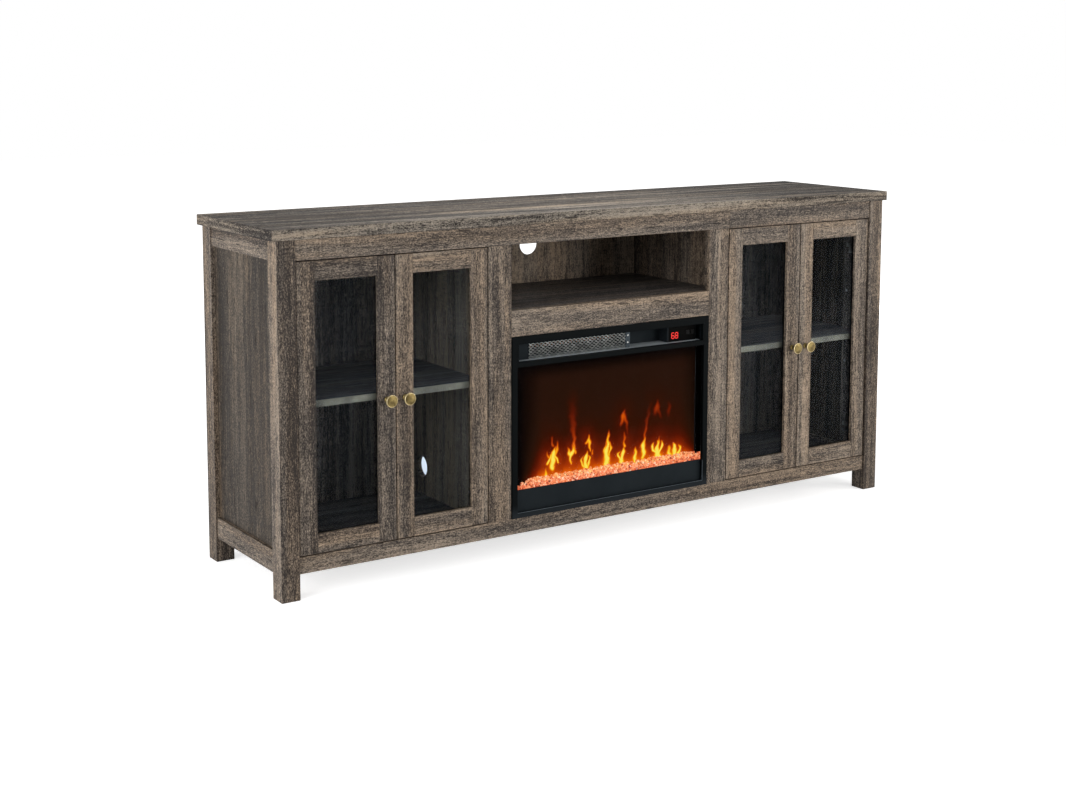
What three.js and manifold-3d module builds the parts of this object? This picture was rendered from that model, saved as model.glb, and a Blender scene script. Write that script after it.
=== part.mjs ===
// A media console with an electric fireplace insert: a long low cabinet on four square legs, an
// overhanging top, a pair of glazed inset doors at each end, an open shelf in the middle and the
// fireplace insert under it.
// Millimetres. X to the right, Y to the back, Z up. The model is drawn with X = 0 on the middle,
// Y = 0 on the front plane of the legs and Z = 0 on the floor, and the outer group then moves the
// origin to the bottom centre of the whole.
import * as THREE from "three";
import { mergeVertices } from "three/addons/utils/BufferGeometryUtils.js";
import Module from "manifold-3d";

const wasm = await Module();
wasm.setup();

// Case
const LEG_WIDTH = 44;
const LEG_DEPTH = 45;
const LEG_HEIGHT = 781;
const CASE_DEPTH = 397;
const BAY_WIDTH = 480; // clear width of each pair of doors
const STILE_WIDTH = 62;
const INSERT_WIDTH = 580;
const INSERT_GAP = 1; // on each side of the insert
const SLAB_THICKNESS = 24;
const SLAB_OVERHANG_SIDE = 12;
const SLAB_OVERHANG_FRONT = 4;
const SLAB_OVERHANG_BACK = 3;
const SLAB_EASE = 1.5; // rounded edge of the top

// Face frame
const FACE_RECESS = 5; // from the legs' front to the doors and stiles
const FRAME_THICKNESS = 18;
const TOP_RAIL_PROUD = 2;
const FOOT_CLEARANCE = 56; // floor to the rails
const BOTTOM_RAIL_HEIGHT = 37;
const TOP_RAIL_HEIGHT = 45;
const MID_RAIL_HEIGHT = 61;

// Ends
const SIDE_RAIL_RECESS = 3;
const SIDE_RAIL_THICKNESS = 19;
const SIDE_BOTTOM_RAIL_HEIGHT = 50;
const SIDE_PANEL_THICKNESS = 12;
const CLEAT_DEPTH = 50; // hinge cleat behind each front leg

// Boards inside
const PANEL_THICKNESS = 15;
const BACK_THICKNESS = 5;
const BACK_INSET = 15; // from the back legs' rear to the back panel
const SHELF_CLEARANCE = 0.5;
const SHELF_SETBACK = 5; // behind the doors
const SHELF_DROP = 2.5; // from the doors' middle to the shelf's underside
const WIRE_HOLE_RADIUS = 27;
const SIDE_WIRE_HOLE_RISE = 69; // above the case's floor
const SIDE_WIRE_HOLE_SETBACK = 60; // from the back panel to the hole's middle
const PIN_HOLE_RADIUS = 2.6;
const PIN_HOLE_PITCH = 62;
const PIN_HOLE_SETBACK = 50; // from the shelf's front and back edges to the pins

// Doors
const DOOR_GAP = 2.5;
const DOOR_THICKNESS = 18;
const DOOR_MEMBER = 43;
const DOOR_SIGHT_DEPTH = 9; // from the door's face to the glass
const DOOR_REBATE = 5;
const DOOR_GLASS_THICKNESS = 4;
const FIT_GAP = 0.3;
const KNOB_REACH = 25;
const KNOB_RADIUS = 14;
const KNOB_HEAD_THICKNESS = 7;
const KNOB_CROWN = 2;
const KNOB_STEM_RADIUS = 4.5;
const KNOB_FOOT_RADIUS = 7;
const KNOB_FOOT_THICKNESS = 2.5;

// Concealed hinges: e runs along the door from its hinged edge and d back from its face.
const CUP_RADIUS = 17.5;
const CUP_DEPTH = 12;
const CUP_FROM_EDGE = 20.3;
const CUP_FROM_DOOR_END = 75;
const HINGE_PIVOT_E = 11;
const HINGE_NOSE_GAP = 0.6; // from the door's back to the arm's nose
const HINGE_EYE_RADIUS = 3;
const HINGE_ARM_HEIGHT = 11;
const HINGE_ARM_LENGTH = 46;
const HINGE_ARM_WIDTH = 10;
const HINGE_PLATE_THICKNESS = 2;
const HINGE_NOSE_LENGTH = 7;
const HINGE_LINK_TIP_E = 32;
const HINGE_LINK_TIP_SINK = 5; // depth of the link's tip in the cup
const HINGE_LINK_BOW = 5;
const HINGE_LINK_WIDTH = 4;

// Insert
const INSERT_HEIGHT = 428;
const INSERT_SEAT = 0.3; // under the insert
const INSERT_PROUD = 3; // its frame stands in front of the stiles
const INSERT_DEPTH = 188;
const SHEET = 1.5;
const TRIM_SIDE = 14.5;
const TRIM_TOP = 18;
const TRIM_BOTTOM = 12;
const TRIM_DEPTH = 9;
const VENT_HEIGHT = 42;
const VENT_SIDE = 18;
const VENT_DEPTH = 60;
const MID_BAR_HEIGHT = 11.5;
const FASCIA_HEIGHT = 52.5;
const FIRE_GLASS_THICKNESS = 3;
const FIRE_GLASS_LAP = 7; // glass hidden behind the trim
const EMBER_DEPTH = 34;
const EMBER_RISE = 18; // top of the ember bed above the fascia
const EMBER_END_DROP = 8;
const SCREEN_THICKNESS = 3;
const GRILLE_LEFT = 60; // from the insert's left edge to the grille
const GRILLE_WIDTH = 292;
const GRILLE_SETBACK = 23;
const GRILLE_THICKNESS = 1.5;
const GRILLE_COLUMNS = 24;
const GRILLE_ROWS = 4;
const GRILLE_STRAND = 1.6;
const CONTROL_WIDTH = 88;
const CONTROL_RIGHT = 24; // from the control box to the insert's right edge
const CONTROL_DEPTH = 34;
const BUTTON_WIDTH = 10;
const BUTTON_HEIGHT = 10;
const BUTTON_PROUD = 1;
const BUTTON_STEM = 5;
const BUTTON_PITCH = 15;
const BUTTON_CLEARANCE = 0.4;
const SPINDLE_SETBACK = 105;
const SPINDLE_HEIGHT = 96; // above the insert's base
const SPINDLE_RADIUS = 3;
const SPINDLE_VANES = 9;
const VANE_REACH = 20;
const VANE_THICKNESS = 0.8;
const VANE_FILL_SHARE = 0.82; // of the pitch between vanes
const MOTOR_RADIUS = 24;
const MOTOR_LENGTH = 16;
const RUNNING_GAP = 0.3;
const WHEEL_RADIUS = 20;
const WHEEL_HUB_RADIUS = 4;
const WHEEL_END_THICKNESS = 2;
const WHEEL_BLADES = 16;
const WHEEL_BLADE_LENGTH = 7;
const WHEEL_BLADE_THICKNESS = 1.2;
const WHEEL_SETBACK = 112;
const DUCT_WALL = 1.5;
const DUCT_CLEARANCE = 5;

const OVERRUN = 2; // every cut runs this far past its piece
const ROUND_SEGMENTS = 32;
const FINE_SEGMENTS = 48;

// Heights
const slabBottom = LEG_HEIGHT;
const slabTop = slabBottom + SLAB_THICKNESS;
const bottomRailTop = FOOT_CLEARANCE + BOTTOM_RAIL_HEIGHT;
const floorTop = bottomRailTop;
const floorBottom = floorTop - PANEL_THICKNESS;
const topRailBottom = slabBottom - TOP_RAIL_HEIGHT;
const insertBottom = floorTop + INSERT_SEAT;
const insertTop = insertBottom + INSERT_HEIGHT;
const midRailBottom = insertTop + INSERT_GAP;
const midRailTop = midRailBottom + MID_RAIL_HEIGHT;
const deckBottom = midRailTop - PANEL_THICKNESS;
const sideRailTop = FOOT_CLEARANCE + SIDE_BOTTOM_RAIL_HEIGHT;
const doorBottom = bottomRailTop + DOOR_GAP;
const doorTop = topRailBottom - DOOR_GAP;
const doorMiddle = (doorBottom + doorTop) / 2;
const shelfBottom = doorMiddle - SHELF_DROP;
const shelfTop = shelfBottom + PANEL_THICKNESS;
const sideHoleHeight = floorTop + SIDE_WIRE_HOLE_RISE;
const backHoleHeight = (midRailTop + slabBottom) / 2;

// Half widths, from the middle outwards
const stileInner = INSERT_WIDTH / 2 + INSERT_GAP;
const stileOuter = stileInner + STILE_WIDTH;
const legInner = stileOuter + BAY_WIDTH;
const legOuter = legInner + LEG_WIDTH;
const partitionInner = stileOuter - PANEL_THICKNESS;
const sideRailOuter = legOuter - SIDE_RAIL_RECESS;
const endInner = sideRailOuter - SIDE_RAIL_THICKNESS;
const sidePanelOuter = endInner + SIDE_PANEL_THICKNESS;
const slabOuter = legOuter + SLAB_OVERHANG_SIDE;

// Depths, from the legs' front plane
const faceFront = FACE_RECESS;
const frameBack = faceFront + FRAME_THICKNESS;
const doorBack = faceFront + DOOR_THICKNESS;
const backFront = CASE_DEPTH - BACK_INSET - BACK_THICKNESS;
const backRear = backFront + BACK_THICKNESS;
const shelfFront = doorBack + SHELF_SETBACK;
const cleatBack = LEG_DEPTH + CLEAT_DEPTH;
const knobFront = faceFront - KNOB_REACH;
const pivotD = DOOR_THICKNESS + HINGE_NOSE_GAP + HINGE_EYE_RADIUS;
const linkTipD = DOOR_THICKNESS - HINGE_LINK_TIP_SINK;
const slabFront = -SLAB_OVERHANG_FRONT;
const slabRear = CASE_DEPTH + SLAB_OVERHANG_BACK;

// Insert planes
const insertFront = faceFront - INSERT_PROUD;
const trimBack = insertFront + TRIM_DEPTH;
const insertHalf = INSERT_WIDTH / 2;
const insertRear = insertFront + INSERT_DEPTH;
const fasciaBottom = insertBottom + TRIM_BOTTOM;
const fasciaTop = fasciaBottom + FASCIA_HEIGHT;
const ventTop = insertTop - TRIM_TOP;
const ventBottom = ventTop - VENT_HEIGHT;
const fireTop = ventBottom - MID_BAR_HEIGHT;
const fireHalf = insertHalf - TRIM_SIDE;
const ventHalf = insertHalf - VENT_SIDE;
const fasciaFront = trimBack + FIT_GAP;
const fasciaBack = fasciaFront + SHEET;
const fireGlassFront = fasciaBack + FIT_GAP;
const fireGlassBack = fireGlassFront + FIRE_GLASS_THICKNESS;
const emberFront = fireGlassBack + FIT_GAP;
const emberBack = emberFront + EMBER_DEPTH;
const screenFront = emberBack + FIT_GAP;
const screenBack = screenFront + SCREEN_THICKNESS;
const housingHalf = insertHalf - SHEET;
const wellHalf = housingHalf - SHEET - FIT_GAP;
const ventBack = insertFront + VENT_DEPTH;

const OAK = { color: 0x857a70, roughness: 0.7, metalness: 0 };
const OAK_INSIDE = { color: 0x7b7066, roughness: 0.75, metalness: 0 };
const GLASS = { color: 0x8fa39b, roughness: 0.05, metalness: 0, opacity: 0.35, transparent: true };
const BRASS = { color: 0x9a8558, roughness: 0.4, metalness: 0.9 };
const NICKEL = { color: 0xa9a9a6, roughness: 0.35, metalness: 0.9 };
const BLACK_STEEL = { color: 0x1b2022, roughness: 0.5, metalness: 0.3 };
const BLACK_PLASTIC = { color: 0x101214, roughness: 0.35, metalness: 0 };
const GALVANISED = { color: 0x9aa0a2, roughness: 0.5, metalness: 0.8 };
const MESH_STEEL = { color: 0x8d8a7c, roughness: 0.5, metalness: 0.6 };
const SCREEN = { color: 0x6b2a10, roughness: 0.6, metalness: 0 };
const CRYSTAL = { color: 0xd98d6a, roughness: 0.3, metalness: 0 };

// A closed mesh's geometry as a solid that can be joined or cut.
function solidOf(geometry) {
  const bare = geometry.clone();
  bare.deleteAttribute("normal");
  bare.deleteAttribute("uv");
  const merged = mergeVertices(bare);
  const mesh = new wasm.Mesh({
    numProp: 3,
    vertProperties: merged.attributes.position.array,
    triVerts: new Uint32Array(merged.index.array),
  });
  return new wasm.Manifold(mesh);
}

// A solid back as a geometry with flat faces.
function geometryOf(solid) {
  const mesh = solid.getMesh();
  const indexed = new THREE.BufferGeometry();
  indexed.setAttribute("position", new THREE.BufferAttribute(mesh.vertProperties, 3));
  indexed.setIndex(new THREE.BufferAttribute(mesh.triVerts, 1));
  const flat = indexed.toNonIndexed();
  flat.computeVertexNormals();
  return flat;
}

const joined = (...geometries) => geometryOf(geometries.map(solidOf).reduce((sum, next) => sum.add(next)));
const cut = (geometry, ...tools) =>
  geometryOf(tools.map(solidOf).reduce((rest, tool) => rest.subtract(tool), solidOf(geometry)));

function nameMesh(name, geometry, finish) {
  const mesh = new THREE.Mesh(geometry, new THREE.MeshStandardMaterial(finish));
  mesh.name = name;
  return mesh;
}

// A span of X on one side of the middle: side is -1 on the left and 1 on the right.
const sideSpan = (side, inner, outer) => (side < 0 ? [-outer, -inner] : [inner, outer]);

// A rectangular block between two corners. Its vertices are the given values themselves, so that
// boards which meet share one plane exactly.
function block([x0, x1], [y0, y1], [z0, z1]) {
  const geometry = new THREE.BoxGeometry(1, 1, 1);
  const position = geometry.attributes.position;
  for (let i = 0; i < position.count; i++) {
    const x = position.getX(i) < 0 ? x0 : x1;
    const y = position.getY(i) < 0 ? y0 : y1;
    const z = position.getZ(i) < 0 ? z0 : z1;
    position.setXYZ(i, x, y, z);
  }
  return geometry;
}

// A prism: an outline carried along one axis from one value to another. The outline is given in
// the other two axes: (x, y) along z, (x, z) along y and (y, z) along x.
function prism(outline, axis, [from, to], segments = ROUND_SEGMENTS) {
  const shape = outline instanceof THREE.Shape ? outline : new THREE.Shape(outline.map(([a, b]) => new THREE.Vector2(a, b)));
  const geometry = new THREE.ExtrudeGeometry(shape, { depth: 1, bevelEnabled: false, curveSegments: segments });
  const position = geometry.attributes.position;
  for (let i = 0; i < position.count; i++) {
    const a = position.getX(i);
    const b = position.getY(i);
    const t = position.getZ(i) < 0.5 ? from : to;
    if (axis === "z") position.setXYZ(i, a, b, t);
    if (axis === "y") position.setXYZ(i, a, t, b);
    if (axis === "x") position.setXYZ(i, t, a, b);
  }
  if (axis === "y") turnFaces(position);
  geometry.computeVertexNormals();
  return geometry;
}

// Swaps two corners of every triangle of an unindexed mesh.
function turnFaces(position) {
  for (let i = 0; i < position.count; i += 3) {
    const kept = [position.getX(i + 1), position.getY(i + 1), position.getZ(i + 1)];
    position.setXYZ(i + 1, position.getX(i + 2), position.getY(i + 2), position.getZ(i + 2));
    position.setXYZ(i + 2, ...kept);
  }
}

const rectangle = ([a0, a1], [b0, b1]) => [[a0, b0], [a1, b0], [a1, b1], [a0, b1]];

function shapeWithHoles(outline, rounds, windows = []) {
  const shape = new THREE.Shape(outline.map(([a, b]) => new THREE.Vector2(a, b)));
  for (const [a, b, radius] of rounds) {
    shape.holes.push(new THREE.Path().absarc(a, b, radius, 0, Math.PI * 2, true));
  }
  for (const window of windows) {
    shape.holes.push(new THREE.Path(window.map(([a, b]) => new THREE.Vector2(a, b)).reverse()));
  }
  return shape;
}

// A turned piece: a profile of [radius, height] points, with its axis along the given axis.
function turned(profile, axis, [x, y, z], segments = ROUND_SEGMENTS) {
  const geometry = new THREE.LatheGeometry(profile.map(([r, h]) => new THREE.Vector2(r, h)), segments);
  if (axis === "-y") geometry.rotateX(Math.PI);
  if (axis === "x") geometry.rotateZ(-Math.PI / 2);
  if (axis === "z") geometry.rotateX(Math.PI / 2);
  geometry.translate(x, y, z);
  return geometry;
}

const rodProfile = (radius, from, to) => [[0, from], [radius, from], [radius, to], [0, to]];

// The top: a board with eased edges, laid on the legs and rails.
function topSlab() {
  const ease = SLAB_EASE;
  const profile = [
    [slabFront, slabBottom + ease],
    [slabFront + ease, slabBottom],
    [slabRear - ease, slabBottom],
    [slabRear, slabBottom + ease],
    [slabRear, slabTop - ease],
    [slabRear - ease, slabTop],
    [slabFront + ease, slabTop],
    [slabFront, slabTop - ease],
  ];
  return nameMesh("top_slab", prism(profile, "x", [-slabOuter, slabOuter]), OAK);
}

function legs() {
  const places = [
    ["front_left_leg", -1, [0, LEG_DEPTH]],
    ["front_right_leg", 1, [0, LEG_DEPTH]],
    ["back_left_leg", -1, [CASE_DEPTH - LEG_DEPTH, CASE_DEPTH]],
    ["back_right_leg", 1, [CASE_DEPTH - LEG_DEPTH, CASE_DEPTH]],
  ];
  return places.map(([name, side, depth]) =>
    nameMesh(name, block(sideSpan(side, legInner, legOuter), depth, [0, slabBottom]), OAK),
  );
}

// One end of the case: two rails and the panel between them, and the cleat that the outer door's
// hinges are screwed to.
function caseEnd(side, word) {
  const betweenLegs = [LEG_DEPTH, CASE_DEPTH - LEG_DEPTH];
  const rail = sideSpan(side, endInner, sideRailOuter);
  const panel = sideSpan(side, endInner, sidePanelOuter);
  const cleat = sideSpan(side, legInner, endInner);
  return [
    nameMesh(`${word}_side_bottom_rail`, block(rail, betweenLegs, [FOOT_CLEARANCE, sideRailTop]), OAK),
    nameMesh(`${word}_side_top_rail`, block(rail, betweenLegs, [topRailBottom, slabBottom]), OAK),
    nameMesh(`${word}_side_panel`, block(panel, betweenLegs, [sideRailTop, topRailBottom]), OAK),
    nameMesh(`${word}_hinge_cleat`, block(cleat, [LEG_DEPTH, cleatBack], [floorTop, slabBottom]), OAK_INSIDE),
  ];
}

function faceFrame() {
  const depth = [faceFront, frameBack];
  const fullWidth = [-legInner, legInner];
  const topDepth = [faceFront - TOP_RAIL_PROUD, frameBack];
  const betweenStiles = [-stileInner, stileInner];
  const stile = (side) => block(sideSpan(side, stileInner, stileOuter), depth, [bottomRailTop, topRailBottom]);
  return [
    nameMesh("front_bottom_rail", block(fullWidth, depth, [FOOT_CLEARANCE, bottomRailTop]), OAK),
    nameMesh("front_top_rail", block(fullWidth, topDepth, [topRailBottom, slabBottom]), OAK),
    nameMesh("left_stile", stile(-1), OAK),
    nameMesh("right_stile", stile(1), OAK),
    nameMesh("mid_rail", block(betweenStiles, depth, [midRailBottom, midRailTop]), OAK),
  ];
}

// An upright board between a cupboard and the middle bay, with its wire hole and the rows of
// holes for the shelf pins.
function partition(side, word) {
  const holes = [[backFront - SIDE_WIRE_HOLE_SETBACK, sideHoleHeight, WIRE_HOLE_RADIUS]];
  for (const depth of [shelfFront + PIN_HOLE_SETBACK, backFront - PIN_HOLE_SETBACK]) {
    for (const step of [-1, 1]) {
      holes.push([depth, shelfBottom - PIN_HOLE_RADIUS + step * PIN_HOLE_PITCH, PIN_HOLE_RADIUS]);
    }
  }
  const outline = rectangle([frameBack, backFront], [floorTop, slabBottom]);
  const board = prism(shapeWithHoles(outline, holes), "x", sideSpan(side, partitionInner, stileOuter), FINE_SEGMENTS / 4);
  return nameMesh(`${word}_partition`, board, OAK_INSIDE);
}

// The floor of the case: one board, notched round the four legs.
function floorBoard() {
  const backNotch = CASE_DEPTH - LEG_DEPTH;
  const outline = [
    [-legInner, frameBack],
    [legInner, frameBack],
    [legInner, LEG_DEPTH],
    [endInner, LEG_DEPTH],
    [endInner, backNotch],
    [legInner, backNotch],
    [legInner, backFront],
    [-legInner, backFront],
    [-legInner, backNotch],
    [-endInner, backNotch],
    [-endInner, LEG_DEPTH],
    [-legInner, LEG_DEPTH],
  ];
  return nameMesh("floor_board", prism(outline, "z", [floorBottom, floorTop]), OAK_INSIDE);
}

// The loose shelf of one cupboard, notched round the hinge cleat and the back leg.
function cupboardShelf(side, word) {
  const gap = SHELF_CLEARANCE;
  const inner = side * (stileOuter + gap);
  const outer = side * (endInner - gap);
  const notch = side * (legInner - gap);
  const cleat = cleatBack + gap;
  const rearLeg = CASE_DEPTH - LEG_DEPTH - gap;
  const rear = backFront - gap;
  const outline = [
    [inner, shelfFront],
    [notch, shelfFront],
    [notch, cleat],
    [outer, cleat],
    [outer, rearLeg],
    [notch, rearLeg],
    [notch, rear],
    [inner, rear],
  ];
  if (side < 0) outline.reverse();
  return nameMesh(`${word}_shelf`, prism(outline, "z", [shelfBottom, shelfTop]), OAK_INSIDE);
}

function middleDeck() {
  const board = block([-partitionInner, partitionInner], [frameBack, backFront], [deckBottom, midRailTop]);
  return nameMesh("middle_deck", board, OAK_INSIDE);
}

// The back: one thin board that leaves the space behind the insert open for air, with a wire hole
// behind the open shelf.
function backPanel() {
  const outline = [
    [-legInner, floorBottom],
    [-partitionInner, floorBottom],
    [-partitionInner, deckBottom],
    [partitionInner, deckBottom],
    [partitionInner, floorBottom],
    [legInner, floorBottom],
    [legInner, slabBottom],
    [-legInner, slabBottom],
  ];
  const hole = [0, backHoleHeight, WIRE_HOLE_RADIUS];
  const board = prism(shapeWithHoles(outline, [hole]), "y", [backFront, backRear], FINE_SEGMENTS / 4);
  return nameMesh("back_panel", board, OAK_INSIDE);
}

// A door, in a group whose origin is its hinge axis at floor level: the frame with a rebate for
// the glass and two bores for the hinge cups, the glass, and the knob on the meeting stile.
// reach is 1 for a door that runs to the right of its hinge and -1 for one that runs to the left.
function door(word, hingeX, reach) {
  const width = (BAY_WIDTH - 3 * DOOR_GAP) / 2;
  const along = (from, to) => (reach > 0 ? [from, to] : [-to, -from]);
  const lipBack = DOOR_SIGHT_DEPTH;
  const rebate = DOOR_MEMBER - DOOR_REBATE;
  const ring = (member) => {
    const window = rectangle(along(member, width - member), [doorBottom + member, doorTop - member]);
    return shapeWithHoles(rectangle(along(0, width), [doorBottom, doorTop]), [], [window]);
  };
  const frontLip = prism(ring(DOOR_MEMBER), "y", [0, lipBack]);
  const rearRing = prism(ring(rebate), "y", [lipBack, DOOR_THICKNESS]);
  const bores = cupHeights().map((height) => {
    const profile = rodProfile(CUP_RADIUS, DOOR_THICKNESS - CUP_DEPTH, DOOR_THICKNESS + OVERRUN);
    return turned(profile, "y", [reach * CUP_FROM_EDGE, 0, height], FINE_SEGMENTS);
  });
  const paneEdge = rebate + FIT_GAP;
  const pane = block(
    along(paneEdge, width - paneEdge),
    [lipBack + FIT_GAP, lipBack + FIT_GAP + DOOR_GLASS_THICKNESS],
    [doorBottom + paneEdge, doorTop - paneEdge],
  );
  const group = new THREE.Group();
  group.position.set(hingeX, faceFront, 0);
  group.add(
    nameMesh(`${word}_door_frame`, cut(joined(frontLip, rearRing), ...bores), OAK),
    nameMesh(`${word}_door_glass`, pane, GLASS),
    nameMesh(`${word}_door_knob`, knob(reach * (width - DOOR_MEMBER / 2)), BRASS),
  );
  return group;
}

const cupHeights = () => [doorBottom + CUP_FROM_DOOR_END, doorTop - CUP_FROM_DOOR_END];

// A turned knob: a foot, a stem and a wide head with a low crown.
function knob(x) {
  const headFoot = KNOB_REACH - KNOB_HEAD_THICKNESS;
  const rim = KNOB_REACH - KNOB_CROWN;
  const profile = [
    [0, 0],
    [KNOB_FOOT_RADIUS, 0],
    [KNOB_FOOT_RADIUS, KNOB_FOOT_THICKNESS],
    [KNOB_STEM_RADIUS, KNOB_FOOT_THICKNESS * 2],
    [KNOB_STEM_RADIUS, headFoot - KNOB_CROWN],
    [KNOB_RADIUS - KNOB_CROWN, headFoot],
    [KNOB_RADIUS, headFoot + KNOB_CROWN / 2],
    [KNOB_RADIUS, rim],
    [KNOB_RADIUS - KNOB_CROWN, rim + KNOB_CROWN / 2],
    [0, KNOB_REACH],
  ];
  return turned(profile, "-y", [x, 0, doorMiddle]);
}

// The lower hinge of a door: an arm screwed to the case, and the link that folds into the cup.
// Each sits in a group on its own origin: the door's hinge axis for the arm, the pivot for the link.
function hinge(word, hingeX, reach) {
  const height = cupHeights()[0];
  const half = HINGE_ARM_HEIGHT / 2;
  const faceE = -DOOR_GAP;
  const armStart = pivotD + HINGE_EYE_RADIUS + FIT_GAP;
  const armEnd = armStart + HINGE_ARM_LENGTH;
  const across = ([e0, e1]) => (reach > 0 ? [e0, e1] : [-e1, -e0]);
  const plate = block(
    across([faceE, faceE + HINGE_PLATE_THICKNESS]),
    [armEnd - HINGE_ARM_LENGTH / 2, armEnd],
    [height - HINGE_ARM_HEIGHT * 2, height + HINGE_ARM_HEIGHT * 2],
  );
  const arm = block(
    across([faceE, faceE + HINGE_ARM_WIDTH]),
    [armStart + HINGE_NOSE_LENGTH, armEnd],
    [height - half, height + half],
  );
  const nose = block(
    across([faceE + HINGE_PLATE_THICKNESS, HINGE_PIVOT_E + HINGE_EYE_RADIUS]),
    [pivotD - HINGE_EYE_RADIUS, armStart + HINGE_NOSE_LENGTH + OVERRUN],
    [height - half, height - FIT_GAP],
  );
  const armGroup = new THREE.Group();
  armGroup.position.set(hingeX, faceFront, 0);
  armGroup.add(nameMesh(`${word}_hinge_arm`, joined(plate, arm, nose), NICKEL));

  const linkGroup = new THREE.Group();
  linkGroup.position.set(hingeX + reach * HINGE_PIVOT_E, faceFront + pivotD, height);
  linkGroup.add(nameMesh(`${word}_hinge_link`, hingeLink(reach, half), NICKEL));
  return [armGroup, linkGroup];
}

// The link: an eye round the pivot and a bowed bar out to a round tip inside the cup.
function hingeLink(reach, thickness) {
  const tip = new THREE.Vector2(HINGE_LINK_TIP_E - HINGE_PIVOT_E, linkTipD - pivotD);
  const middle = tip.clone().multiplyScalar(0.5);
  const normal = new THREE.Vector2(-tip.y, tip.x).normalize();
  const bow = new THREE.QuadraticBezierCurve(
    new THREE.Vector2(0, 0),
    middle.add(normal.clone().multiplyScalar(HINGE_LINK_BOW * 2)),
    tip,
  );
  const steps = ROUND_SEGMENTS / 4;
  const edge = (sign) =>
    Array.from({ length: steps + 1 }, (_, i) => {
      const tangent = bow.getTangent(i / steps);
      const offset = new THREE.Vector2(-tangent.y, tangent.x).multiplyScalar((sign * HINGE_LINK_WIDTH) / 2);
      return bow.getPoint(i / steps).add(offset);
    });
  const mirrored = ({ x, y }) => [reach * x, y];
  const outline = [...edge(-1), ...edge(1).reverse()].map(mirrored);
  if (reach < 0) outline.reverse();
  const bar = prism(outline, "z", [0, thickness]);
  const eye = turned(rodProfile(HINGE_EYE_RADIUS, 0, thickness), "z", [0, 0, 0], ROUND_SEGMENTS / 2);
  return joined(bar, eye);
}

// The insert's black front: side, top and bottom trims and the bar under the vent.
function insertTrim() {
  const outline = rectangle([-insertHalf, insertHalf], [insertBottom, insertTop]);
  const fireWindow = rectangle([-fireHalf, fireHalf], [fasciaBottom, fireTop]);
  const ventWindow = rectangle([-ventHalf, ventHalf], [ventBottom, ventTop]);
  const shape = shapeWithHoles(outline, [], [fireWindow, ventWindow]);
  return nameMesh("insert_trim", prism(shape, "y", [insertFront, trimBack]), BLACK_STEEL);
}

// The steel box behind the trim, open to the front, with the vent's channel folded into its top.
function insertHousing() {
  const front = fasciaFront;
  const outer = [-housingHalf, housingHalf];
  const heights = [insertBottom, insertTop];
  const shell = block(outer, [front, insertRear], heights);
  const hollow = block(
    [-housingHalf + SHEET, housingHalf - SHEET],
    [front - OVERRUN, insertRear - SHEET],
    [insertBottom + SHEET, insertTop - SHEET],
  );
  const inside = [-housingHalf + SHEET / 2, housingHalf - SHEET / 2];
  const shelf = block(inside, [front, ventBack], [ventBottom - SHEET, ventBottom]);
  const roof = block(inside, [front, ventBack], [ventTop, ventTop + SHEET]);
  const outletTop = ventTop - SHEET * 2;
  const outletBottom = ventBottom + SHEET * 2;
  const back = rectangle(inside, [ventBottom - SHEET, ventTop + SHEET]);
  const outlet = rectangle(grilleSpan(), [outletBottom, outletTop]);
  const wall = prism(shapeWithHoles(back, [], [outlet]), "y", [ventBack - SHEET, ventBack]);
  return nameMesh("insert_housing", joined(cut(shell, hollow), shelf, roof, wall), GALVANISED);
}

const grilleSpan = () => [-insertHalf + GRILLE_LEFT, -insertHalf + GRILLE_LEFT + GRILLE_WIDTH];

// The fascia under the fire: a flat sheet whose foot is folded back as the tray for the embers.
function fascia() {
  const face = block([-wellHalf, wellHalf], [fasciaFront, fasciaBack], [insertBottom + SHEET + FIT_GAP, fasciaTop]);
  const trayTop = fasciaBottom + SHEET;
  const tray = block([-wellHalf, wellHalf], [fasciaFront, screenFront - FIT_GAP], [fasciaBottom, trayTop]);
  return nameMesh("ember_tray", joined(face, tray), BLACK_STEEL);
}

function fireGlass() {
  const half = fireHalf + FIRE_GLASS_LAP;
  const bottom = fasciaTop - FIRE_GLASS_LAP;
  const top = fireTop + FIRE_GLASS_LAP;
  return nameMesh("fire_glass", block([-half, half], [fireGlassFront, fireGlassBack], [bottom, top]), GLASS);
}

// The bed of crystals as one plain body: a low mound, highest over the middle.
function emberBed() {
  const bottom = fasciaBottom + SHEET + FIT_GAP;
  const crest = fasciaTop + EMBER_RISE;
  const shoulder = crest - EMBER_END_DROP;
  const half = wellHalf - FIT_GAP;
  const shoulderHalf = half - INSERT_WIDTH / 8;
  const outline = [
    [-half, bottom],
    [half, bottom],
    [half, shoulder],
    [shoulderHalf, crest],
    [-shoulderHalf, crest],
    [-half, shoulder],
  ];
  return nameMesh("ember_bed", prism(outline, "y", [emberFront, emberBack]), CRYSTAL);
}

function flameScreen() {
  const top = ventBottom - SHEET - FIT_GAP;
  const bottom = fasciaBottom + SHEET * 2;
  const screen = block([-wellHalf, wellHalf], [screenFront, screenBack], [bottom, top]);
  return nameMesh("flame_screen", screen, SCREEN);
}

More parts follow.
